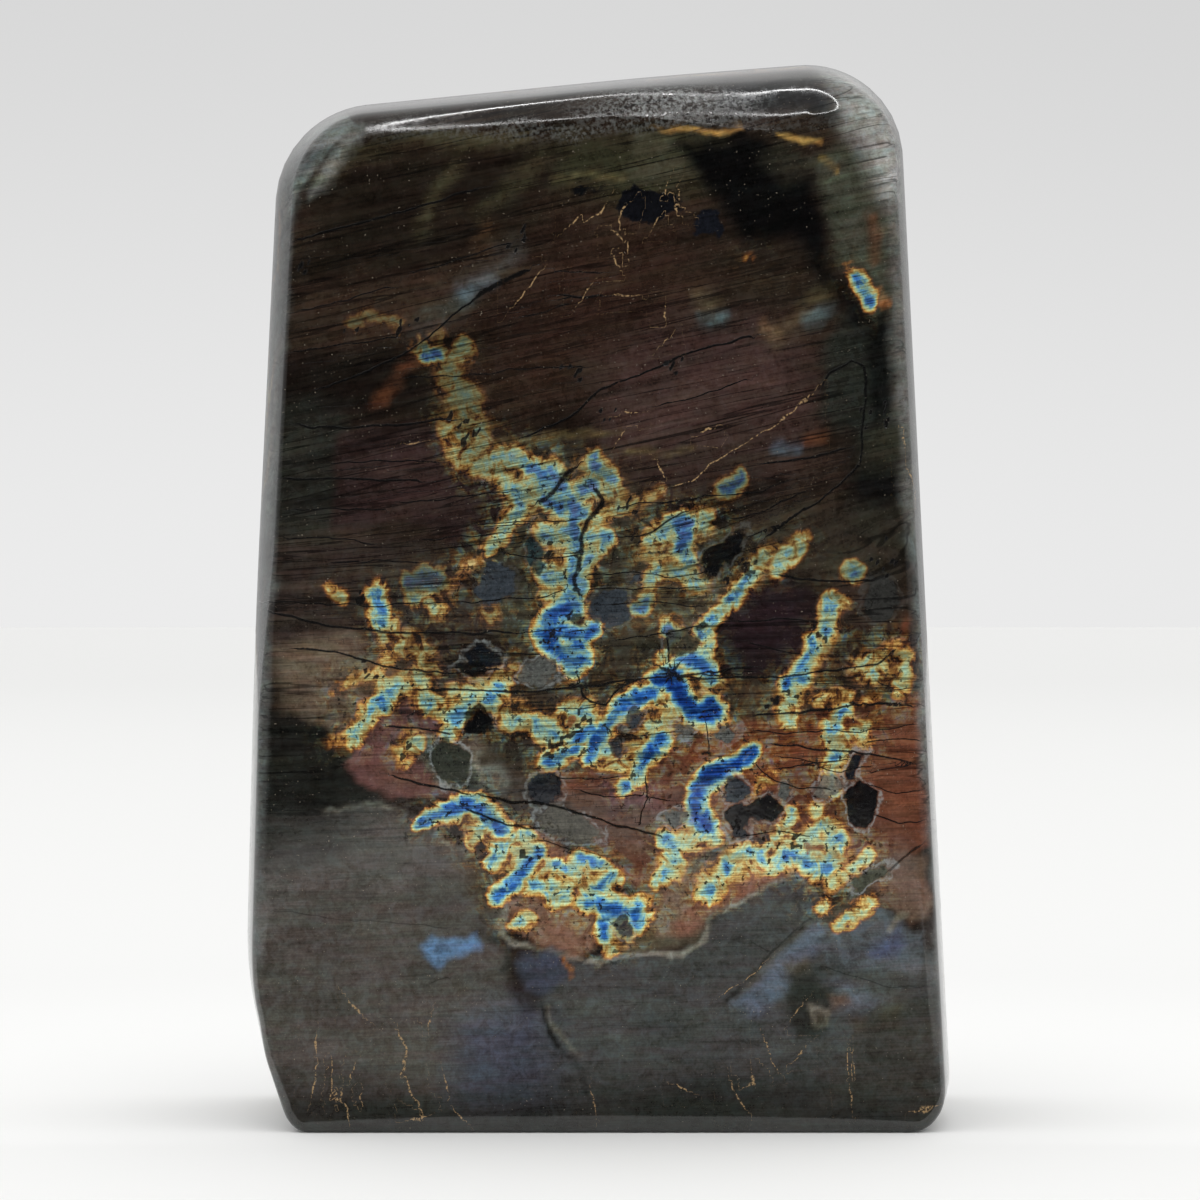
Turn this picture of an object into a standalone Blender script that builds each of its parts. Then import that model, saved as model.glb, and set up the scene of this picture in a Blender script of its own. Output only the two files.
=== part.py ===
"""A polished labradorite freeform: one stone, sawn flat underneath so that it stands by itself.

The stone is lofted front to back. Its outline, seen from the front, is straight sawn sides joined by
rounded corners. Each loop of the loft is that outline, drawn in by some distance at some depth, and
neighbouring loops are bridged. The front is at -Y, the base is at Z = 0, and sizes are in metres.
"""

import bmesh
import bpy
import numpy as np

MM = 0.001

# Sawn corners seen from the front, anticlockwise from the lower left: x, z and the corner's radius.
# The last three turn the slanting facet that cuts the stone's foot away on the left.
CORNERS = {
    "foot_left": (-52.6, 0.0, 6.0),
    "foot_right": (60.1, 0.0, 8.2),
    "top_right": (50.8, 180.8, 16.5),
    "top_middle": (14.0, 177.95, 1500.0),
    "top_left": (-54.4, 171.2, 17.5),
    "left_waist": (-58.8, 83.0, 1500.0),
    "facet_top": (-60.2, 26.5, 60.0),
    "facet_low": (-57.6, 14.7, 80.0),
}
# How each side is finished, in the order of the corners that they follow: how far it is rounded over
# towards the front, then towards the back, and how far it bows out at its middle depth.
SIDES = {
    "base": (1.4, 1.6, 0.0),
    "right": (2.8, 5.0, 2.2),
    "top_right_half": (10.0, 11.0, 2.4),
    "top_left_half": (6.0, 8.5, 2.4),
    "left_upper": (1.4, 7.0, 3.8),
    "left_lower": (2.8, 6.0, 2.2),
    "facet_high": (2.6, 5.0, 1.8),
    "facet_foot": (2.4, 3.6, 1.2),
}
BASE_DEPTH = 60.0
FRONT_LEAN = 0.026
BACK_LEAN = 0.085
FRONT_CROWN = 0.9
BACK_CROWN = 2.6
# The faces crown towards a line up the middle of the stone, between these heights.
SPINE_LOW = 42.0
SPINE_HIGH = 138.0

POINTS_ROUND = 112
RIM_STEPS = 6
SIDE_STEPS = 6
JOIN_ROUNDS = 6
FACE_SHARES = (0.82, 0.55, 0.25)

STONE_COLOUR = (0.035, 0.034, 0.032, 1.0)
STONE_ROUGHNESS = 0.12


def clear_scene():
    for obj in list(bpy.data.objects):
        bpy.data.objects.remove(obj)


def unit(vector):
    return vector / np.linalg.norm(vector)


def outline_pieces():
    """The outline as arcs and the straight runs after them: each arc's centre, radius and two angles."""
    places = np.array([corner[:2] for corner in CORNERS.values()])
    radii = np.array([corner[2] for corner in CORNERS.values()])
    arcs = []
    for i, corner in enumerate(places):
        before = unit(places[i - 1] - corner)
        after = unit(places[(i + 1) % len(places)] - corner)
        half_angle = np.arccos(before @ after) / 2
        centre = corner + unit(before + after) * radii[i] / np.sin(half_angle)
        start = np.arctan2(before[0], -before[1])
        end = np.arctan2(-after[0], after[1])
        sweep = (end - start) % (2 * np.pi)
        arcs.append((centre, radii[i], start, sweep))
    return arcs


def outline(count):
    """Points and outward normals at even steps along the outline, and how each point's side is finished."""
    arcs = outline_pieces()
    finishes = np.array(list(SIDES.values()))
    lengths = []
    for i, (centre, radius, start, sweep) in enumerate(arcs):
        here = centre + radius * direction(start + sweep)
        following = arcs[(i + 1) % len(arcs)]
        there = following[0] + following[1] * direction(following[2])
        lengths += [radius * sweep, np.linalg.norm(there - here)]
    ends = np.cumsum(lengths)
    points, normals, finish = [], [], []
    for step in range(count):
        along = ends[-1] * step / count
        piece = int(np.searchsorted(ends, along, side="right"))
        share = 1 - (ends[piece] - along) / lengths[piece]
        i = piece // 2
        centre, radius, start, sweep = arcs[i]
        if piece % 2 == 0:
            normal = direction(start + sweep * share)
            points.append(centre + radius * normal)
            blend = share * share * (3 - 2 * share)
            finish.append(finishes[i - 1] * (1 - blend) + finishes[i] * blend)
        else:
            normal = direction(start + sweep)
            along_side = direction(start + sweep + np.pi / 2)
            points.append(centre + radius * normal + along_side * lengths[piece] * share)
            finish.append(finishes[i])
        normals.append(normal)
    return np.array(points), np.array(normals), np.array(finish)


def direction(angle):
    return np.array([np.cos(angle), np.sin(angle)])


def front_at(z):
    return -BASE_DEPTH / 2 + FRONT_LEAN * z


def back_at(z):
    return BASE_DEPTH / 2 - BACK_LEAN * z


def face_loops(rim, face_at, crown, shares):
    """The loops of the front or the back, from its rim inwards to the line up its middle."""
    spine = np.stack([np.zeros(len(rim)), np.clip(rim[:, 1], SPINE_LOW, SPINE_HIGH)], axis=1)
    loops = []
    for share in shares:
        flat = spine + (rim - spine) * share
        depth = face_at(flat[:, 1]) + crown * (1 - share * share)
        loops.append(np.stack([flat[:, 0], depth, flat[:, 1]], axis=1))
    return loops


def rounded(radius, bow, turn):
    """How far in from the outline and how far behind the face a rounding lies at a turn of its arc."""
    return bow + radius * (1 - np.sin(turn)), radius * (1 - np.cos(turn))


def last_turn(radius, bow, half_side):
    """The turn at which a rounding gives way to the side's bow, so that the two meet without a kink.

    The bow is a parabola that starts there and levels off at the side's middle depth.
    """
    turn = np.full_like(radius, np.pi / 2)
    for _ in range(JOIN_ROUNDS):
        inset, sunk = rounded(radius, bow, turn)
        turn = np.arctan2(half_side + radius - sunk, 2 * inset)
    return turn


def stone_loops():
    """Every loop of the loft, from the middle of the front to the middle of the back."""
    points, normals, finish = outline(POINTS_ROUND)
    front, back, bow = finish[:, :1], finish[:, 1:2], finish[:, 2:]
    half_side = (back_at(points[:, 1:]) - back - front_at(points[:, 1:]) - front) / 2
    front_turn, back_turn = last_turn(front, bow, half_side), last_turn(back, bow, half_side)
    rim_loops = []
    for share in np.linspace(0, 1, RIM_STEPS + 1):
        inset, sunk = rounded(front, bow, front_turn * share)
        flat = points - normals * inset
        rim_loops.append(loop_at(flat, front_at(flat[:, 1]) + sunk[:, 0]))
    front_inset, front_sunk = rounded(front, bow, front_turn)
    back_inset, back_sunk = rounded(back, bow, back_turn)
    ahead, behind = half_side + front - front_sunk, half_side + back - back_sunk
    middle = ahead / (ahead + behind)
    for share in np.linspace(0, 1, SIDE_STEPS + 1)[1:-1]:
        before_middle = front_inset * (1 - share / middle) ** 2
        after_middle = back_inset * ((share - middle) / (1 - middle)) ** 2
        flat = points - normals * np.where(share < middle, before_middle, after_middle)
        near = front_at(flat[:, 1]) + front_sunk[:, 0]
        far = back_at(flat[:, 1]) - back_sunk[:, 0]
        rim_loops.append(loop_at(flat, near + (far - near) * share))
    for share in np.linspace(1, 0, RIM_STEPS + 1):
        inset, sunk = rounded(back, bow, back_turn * share)
        flat = points - normals * inset
        rim_loops.append(loop_at(flat, back_at(flat[:, 1]) - sunk[:, 0]))
    front_rim = rim_loops[0][:, [0, 2]]
    back_rim = rim_loops[-1][:, [0, 2]]
    return (
        face_loops(front_rim, front_at, -FRONT_CROWN, FACE_SHARES[::-1])
        + rim_loops
        + face_loops(back_rim, back_at, BACK_CROWN, FACE_SHARES)
    )


def loop_at(flat, depth):
    return np.stack([flat[:, 0], depth, flat[:, 1]], axis=1)


def centred(loops):
    """The loops moved sideways so that the middle of the stone's box stands on the origin."""
    everything = np.concatenate(loops)
    middle = (everything.min(axis=0) + everything.max(axis=0)) / 2
    middle[2] = 0
    return [loop - middle for loop in loops]


def stone_material():
    material = bpy.data.materials.new("polished labradorite")
    material.use_nodes = True
    shader = material.node_tree.nodes["Principled BSDF"]
    shader.inputs["Base Color"].default_value = STONE_COLOUR
    shader.inputs["Roughness"].default_value = STONE_ROUGHNESS
    shader.inputs["Metallic"].default_value = 0.0
    return material


def add_loop(mesh, loop):
    """One closed loop of vertices and edges in the mesh."""
    verts = [mesh.verts.new(point * MM) for point in loop]
    edges = [mesh.edges.new((verts[i - 1], verts[i])) for i in range(len(verts))]
    return verts, edges


def make_stone():
    mesh = bmesh.new()
    loops = [add_loop(mesh, loop) for loop in centred(stone_loops())]
    for (_, edges), (_, next_edges) in zip(loops[:-1], loops[1:]):
        bmesh.ops.bridge_loops(mesh, edges=edges + next_edges)
    for verts, _ in (loops[0], loops[-1]):
        mesh.faces.new(verts)
    bmesh.ops.recalc_face_normals(mesh, faces=mesh.faces)
    data = bpy.data.meshes.new("labradorite_stone")
    mesh.to_mesh(data)
    mesh.free()
    data.shade_smooth()
    data.materials.append(stone_material())
    stone = bpy.data.objects.new("labradorite_stone", data)
    bpy.context.scene.collection.objects.link(stone)
    return stone


def main():
    clear_scene()
    make_stone()


main()
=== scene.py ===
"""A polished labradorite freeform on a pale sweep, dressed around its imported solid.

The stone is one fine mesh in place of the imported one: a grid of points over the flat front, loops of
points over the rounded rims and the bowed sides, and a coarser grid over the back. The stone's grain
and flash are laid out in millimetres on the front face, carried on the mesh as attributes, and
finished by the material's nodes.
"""

import bpy
import numpy as np
from bpy.props import FloatProperty, FloatVectorProperty, PointerProperty
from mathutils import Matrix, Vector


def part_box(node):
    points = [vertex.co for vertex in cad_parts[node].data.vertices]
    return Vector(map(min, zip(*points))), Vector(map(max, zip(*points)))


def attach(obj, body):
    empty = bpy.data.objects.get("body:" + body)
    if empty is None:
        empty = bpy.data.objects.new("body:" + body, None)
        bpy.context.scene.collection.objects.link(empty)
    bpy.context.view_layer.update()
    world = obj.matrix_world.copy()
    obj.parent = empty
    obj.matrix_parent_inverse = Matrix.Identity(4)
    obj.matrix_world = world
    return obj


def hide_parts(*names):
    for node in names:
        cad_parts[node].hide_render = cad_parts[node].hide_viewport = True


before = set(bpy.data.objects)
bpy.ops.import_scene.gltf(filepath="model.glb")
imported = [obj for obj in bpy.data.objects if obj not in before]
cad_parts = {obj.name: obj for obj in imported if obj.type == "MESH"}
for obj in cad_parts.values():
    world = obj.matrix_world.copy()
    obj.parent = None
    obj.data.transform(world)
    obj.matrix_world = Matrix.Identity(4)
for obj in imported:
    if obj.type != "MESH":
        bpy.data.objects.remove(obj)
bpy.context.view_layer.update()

bl_info = {
    "name": "Labradorite Freeform",
    "version": (1, 0, 0),
    "blender": (4, 5, 0),
    "location": "View3D > Sidebar > Labradorite",
    "description": "A polished labradorite freeform with copper, gold, cyan and blue flash",
    "category": "Object",
}

MM = 0.001
NODE = "labradorite_stone"
STONE_LOW, STONE_HIGH = (np.array(corner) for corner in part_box(NODE))

# The stone's form

# Sawn corners seen from the front, anticlockwise from the lower left: x, z and the corner's radius.
CORNERS = {
    "foot_left": (-52.6, 0.0, 6.0),
    "foot_right": (60.1, 0.0, 8.2),
    "top_right": (50.8, 180.8, 16.5),
    "top_middle": (14.0, 177.95, 1500.0),
    "top_left": (-54.4, 171.2, 17.5),
    "left_waist": (-58.8, 83.0, 1500.0),
    "facet_top": (-60.2, 26.5, 60.0),
    "facet_low": (-57.6, 14.7, 80.0),
}
# The side after each corner: its rounding towards the front and the back, its bow at middle depth,
# and how steeply the front rim sets off from the face, as a share of a quarter turn.
SIDES = {
    "base": (1.4, 1.6, 0.0, 0.0),
    "right": (2.8, 5.0, 2.2, 0.10),
    "top_right_half": (10.0, 11.0, 2.4, 0.0),
    "top_left_half": (6.0, 8.5, 2.4, 0.08),
    "left_upper": (1.4, 7.0, 3.8, 0.30),
    "left_lower": (2.8, 6.0, 2.2, 0.06),
    "facet_high": (2.6, 5.0, 1.8, 0.06),
    "facet_foot": (2.4, 3.6, 1.2, 0.06),
}
# The corners in whose middles the four edges of the front grid meet.
GRID_CORNERS = ("foot_left", "foot_right", "top_right", "top_left")

BASE_DEPTH = 60.0
FRONT_LEAN = 0.026
BACK_LEAN = 0.085
FRONT_CROWN = 0.9
BACK_CROWN = 2.6
# How far the faces' unevenness goes, and the size of its swells.
WOBBLE = 0.10
WOBBLE_SIZE = 34.0
WOBBLE_SEED = 7

CELLS_ACROSS = 232
CELLS_UP = 328
COARSE = 4
RIM_STEPS = 7
SIDE_STEPS = 8
JOIN_ROUNDS = 6
BACK_STEPS = 6
# About this share of the height the pattern turns calmer, and the rows above are this much further apart.
CALM_HEIGHT = 0.60
CALM_STARTS_BELOW, CALM_ENDS_ABOVE = 0.05, 0.15
CALM_STEP = 1.9
# How level the faces' crown is about its middle: a lower power keeps it up nearer to the rim.
CROWN_POWER = 0.8


def direction(angle):
    """Unit vectors at these angles: cosine and sine."""
    return np.stack([np.cos(angle), np.sin(angle)], axis=-1)


def smooth(edge_low, edge_high, value):
    """0 below one edge, 1 above the other, and 3t² - 2t³ between them."""
    share = np.clip((value - edge_low) / (edge_high - edge_low), 0.0, 1.0)
    return share * share * (3.0 - 2.0 * share)


def rounded_outline():
    """The outline's arcs: centre, radius, first angle, sweep, and the length of the run after each.

    A corner of radius r lies r / sin(half its angle) in along its bisector, and its arc runs between
    the two sides' outward normals.
    """
    data = np.array(list(CORNERS.values()))
    places, radii = data[:, :2], data[:, 2]
    before = np.roll(places, 1, axis=0) - places
    after = np.roll(places, -1, axis=0) - places
    before /= np.linalg.norm(before, axis=1, keepdims=True)
    after /= np.linalg.norm(after, axis=1, keepdims=True)
    half_angle = np.arccos((before * after).sum(axis=1)) / 2
    bisector = before + after
    bisector /= np.linalg.norm(bisector, axis=1, keepdims=True)
    centres = places + bisector * (radii / np.sin(half_angle))[:, None]
    start = np.arctan2(before[:, 0], -before[:, 1])
    sweep = (np.arctan2(-after[:, 0], after[:, 1]) - start) % (2 * np.pi)
    leaves = centres + radii[:, None] * direction(start + sweep)
    arrives = centres + radii[:, None] * direction(start)
    runs = np.linalg.norm(np.roll(arrives, -1, axis=0) - leaves, axis=1)
    return centres, radii, start, sweep, runs


def outline_at(along):
    """Points, outward normals and side finishes at these lengths along the outline.

    Each corner gives an arc and then a straight run. Along an arc the finish of the side before turns
    into that of the side after by 3t² - 2t³.
    """
    centres, radii, start, sweep, runs = rounded_outline()
    finishes = np.array(list(SIDES.values()))
    lengths = np.stack([radii * sweep, runs], axis=1).ravel()
    ends = np.cumsum(lengths)
    along = along % ends[-1]
    piece = np.searchsorted(ends, along, side="right")
    share = 1.0 - (ends[piece] - along) / lengths[piece]
    i, on_run = piece // 2, piece % 2 == 1
    normals = direction(start[i] + sweep[i] * np.where(on_run, 1.0, share))
    forward = np.stack([-normals[:, 1], normals[:, 0]], axis=1)
    travelled = np.where(on_run, lengths[piece] * share, 0.0)
    points = centres[i] + radii[i][:, None] * normals + forward * travelled[:, None]
    blend = np.where(on_run, 1.0, smooth(0.0, 1.0, share))[:, None]
    return points, normals, finishes[i - 1] * (1.0 - blend) + finishes[i] * blend


def side_lengths():
    """The lengths along the outline of the four grid corners, from the first one once round."""
    _, radii, _, sweep, runs = rounded_outline()
    arcs = radii * sweep
    middles = np.concatenate([[0.0], np.cumsum(arcs + runs)[:-1]]) + arcs / 2
    names = list(CORNERS)
    marks = [middles[names.index(name)] for name in GRID_CORNERS]
    return np.array(marks + [marks[0] + (arcs + runs).sum()])


def row_shares(count):
    """Heights of the grid's rows as shares, close together low down and further apart above."""
    calm = smooth(CALM_HEIGHT - CALM_STARTS_BELOW, CALM_HEIGHT + CALM_ENDS_ABOVE, np.linspace(0, 1, count))
    steps = 1.0 + (CALM_STEP - 1.0) * calm
    return np.concatenate([[0.0], np.cumsum(steps) / steps.sum()])


def ring_lengths(across, rows):
    """Places once round the outline that match a grid's edge: along the base, up, back and down."""
    marks = side_lengths()
    even = np.linspace(0, 1, across + 1)[:-1]
    falling = 1.0 - rows[::-1]
    shares = (even, rows[:-1], even, falling[:-1])
    spans = zip(marks[:-1], marks[1:], shares)
    return np.concatenate([low + (high - low) * share for low, high, share in spans])


def coons_grid(ring, rows):
    """A grid filled in between the four edges of a closed ring of points, with its rows at these heights.

    Each point is the bottom and top edges blended by its height, plus the left and right edges
    blended by its breadth, less the four corners blended by both. The crown is 1 in the middle.
    """
    up = len(rows) - 1
    across = len(ring) // 2 - up
    bottom = ring[: across + 1]
    right = ring[across : across + up + 1]
    top = ring[across + up : 2 * across + up + 1][::-1]
    left = np.concatenate([ring[2 * across + up :], ring[:1]])[::-1]
    u = np.linspace(0, 1, across + 1)[None, :, None]
    v = rows[:, None, None]
    edges = (1 - v) * bottom[None] + v * top[None] + (1 - u) * left[:, None] + u * right[:, None]
    low_corners = (1 - u) * (1 - v) * bottom[0] + u * (1 - v) * bottom[-1]
    corners = low_corners + (1 - u) * v * top[0] + u * v * top[-1]
    crown = 16 * u * (1 - u) * v * (1 - v)
    return edges - corners, crown[..., 0] ** CROWN_POWER


def front_at(z):
    """How far back the flat front lies at a height."""
    return -BASE_DEPTH / 2 + FRONT_LEAN * z


def back_at(z):
    """How far back the flat back lies at a height."""
    return BASE_DEPTH / 2 - BACK_LEAN * z


def placed(flat, depth):
    """Points from their x and z and their depth."""
    return np.stack([flat[..., 0], depth, flat[..., 1]], axis=-1)


def rounded(radius, bow, turn, set_off=0.0):
    """How far in from the outline and how far behind the face a rounding lies at a turn of its arc.

    At a turn t of the quarter circle of radius r it is drawn in by r (1 - sin t) and lies r (1 - cos t)
    behind the face. An arc that starts at a later turn is stretched back to the face.
    """
    start = np.cos(set_off)
    return bow + radius * (1 - np.sin(turn)), radius * (start - np.cos(turn)) / start


def last_turn(radius, bow, half_side, set_off=0.0):
    """The turn at which a rounding gives way to the side's bow, so that the two meet without a kink.

    The bow is a parabola that starts there and levels off at the side's middle depth.
    """
    turn = np.full_like(radius, np.pi / 2)
    for _ in range(JOIN_ROUNDS):
        inset, sunk = rounded(radius, bow, turn, set_off)
        turn = np.arctan2((half_side + radius - sunk) * np.cos(set_off), 2 * inset)
    return turn


def sides_at(along):
    """The outline's points and normals there, and how the side is finished.

    That is its roundings towards the front and the back, its bow, the turn at which the front rounding
    sets off, and half the depth between the two roundings.
    """
    points, normals, finish = outline_at(along)
    front, back, bow = finish[:, 0:1], finish[:, 1:2], finish[:, 2:3]
    half_side = (back_at(points[:, 1:]) - back - front_at(points[:, 1:]) - front) / 2
    return points, normals, front, back, bow, finish[:, 3:4] * np.pi / 2, half_side


def rim_loops(along, coarse_along):
    """The loops over the front rim on the fine ring, and over the side and the back rim on the coarse one."""
    points, normals, front, back, bow, set_off, half_side = sides_at(along)
    front_turn = last_turn(front, bow, half_side, set_off)
    fine = []
    for share in np.linspace(0, 1, RIM_STEPS + 1):
        turn = set_off + (front_turn - set_off) * share
        inset, sunk = rounded(front, bow, turn, set_off)
        flat = points - normals * inset
        fine.append(placed(flat, front_at(flat[:, 1]) + sunk[:, 0]))
    points, normals, front, back, bow, set_off, half_side = sides_at(coarse_along)
    front_turn = last_turn(front, bow, half_side, set_off)
    front_inset, front_sunk = rounded(front, bow, front_turn, set_off)
    back_turn = last_turn(back, bow, half_side)
    back_inset, back_sunk = rounded(back, bow, back_turn)
    ahead, behind = half_side + front - front_sunk, half_side + back - back_sunk
    middle = ahead / (ahead + behind)
    coarse = []
    for share in np.linspace(0, 1, SIDE_STEPS + 1)[1:-1]:
        before_middle = front_inset * (1 - share / middle) ** 2
        after_middle = back_inset * ((share - middle) / (1 - middle)) ** 2
        flat = points - normals * np.where(share < middle, before_middle, after_middle)
        near = front_at(flat[:, 1]) + front_sunk[:, 0]
        far = back_at(flat[:, 1]) - back_sunk[:, 0]
        coarse.append(placed(flat, near + (far - near) * share))
    for share in np.linspace(1, 0, BACK_STEPS + 1):
        inset, sunk = rounded(back, bow, back_turn * share)
        flat = points - normals * inset
        coarse.append(placed(flat, back_at(flat[:, 1]) - sunk[:, 0]))
    return fine, coarse


# Noise and distances on the face

LATTICE = 128
OCTAVES = 3


def value_noise(points, size, seed):
    """Smooth noise from 0 to 1: random values on a square lattice, blended by 3t² - 2t³ between them."""
    lattice = np.random.default_rng(seed).random((LATTICE, LATTICE))
    scaled = points / size
    cell = np.floor(scaled).astype(int)
    share = scaled - cell
    share = share * share * (3 - 2 * share)
    (x, y), (next_x, next_y), (across, up) = (cell % LATTICE).T, ((cell + 1) % LATTICE).T, share.T
    lower = lattice[x, y] * (1 - across) + lattice[next_x, y] * across
    upper = lattice[x, next_y] * (1 - across) + lattice[next_x, next_y] * across
    return lower * (1 - up) + upper * up


def rough_noise(points, size, seed):
    """Octaves of smooth noise, each half the size and half the weight of the one before."""
    total = sum(value_noise(points, size / 2**k, seed + k) / 2**k for k in range(OCTAVES))
    return total / sum(1 / 2**k for k in range(OCTAVES))


def warped(points, *warps):
    """The points moved by each warp in turn, so that drawn edges wander like grown ones.

    A warp's first value is about how far it moves a point in mm, then come its size and its seed.
    """
    for reach, size, seed in warps:
        shift = np.stack([rough_noise(points, size, seed), rough_noise(points, size, seed + 10)], axis=1)
        points = points + (shift - 0.5) * 2 * reach
    return points


def to_segment(points, a, b):
    """Share along the segment from a to b, distance to it, and which side of it each point lies on."""
    run = np.subtract(b, a)
    offset = points - a
    share = np.clip(offset @ run / max(run @ run, 1e-9), 0, 1)
    away = offset - share[:, None] * run
    side = np.sign(run[0] * offset[:, 1] - run[1] * offset[:, 0])
    return share, np.hypot(away[:, 0], away[:, 1]), side


def inside_distance(points, polygon):
    """Distance to a polygon's edge, positive inside.

    A point is inside where a level ray from it crosses an odd number of edges.
    """
    corners = np.array(polygon, float)
    nearest = np.full(len(points), 1e9)
    inside = np.zeros(len(points), bool)
    for a, b in zip(corners, np.roll(corners, -1, axis=0)):
        _, distance, _ = to_segment(points, a, b)
        nearest = np.minimum(nearest, distance)
        spans = (a[1] > points[:, 1]) != (b[1] > points[:, 1])
        rise = b[1] - a[1] if b[1] != a[1] else 1e-9
        inside ^= spans & (points[:, 0] < a[0] + (b[0] - a[0]) * (points[:, 1] - a[1]) / rise)
    return np.where(inside, nearest, -nearest)


def ellipse_distance(points, x, z, half_width, half_height, turn):
    """About the distance in mm to an ellipse turned by so many degrees, positive inside."""
    lean = np.radians(turn)
    offset = points - (x, z)
    along = offset[:, 0] * np.cos(lean) + offset[:, 1] * np.sin(lean)
    across = offset[:, 1] * np.cos(lean) - offset[:, 0] * np.sin(lean)
    reach = np.hypot(along / half_width, across / half_height)
    return (1 - reach) * min(half_width, half_height)
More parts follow.
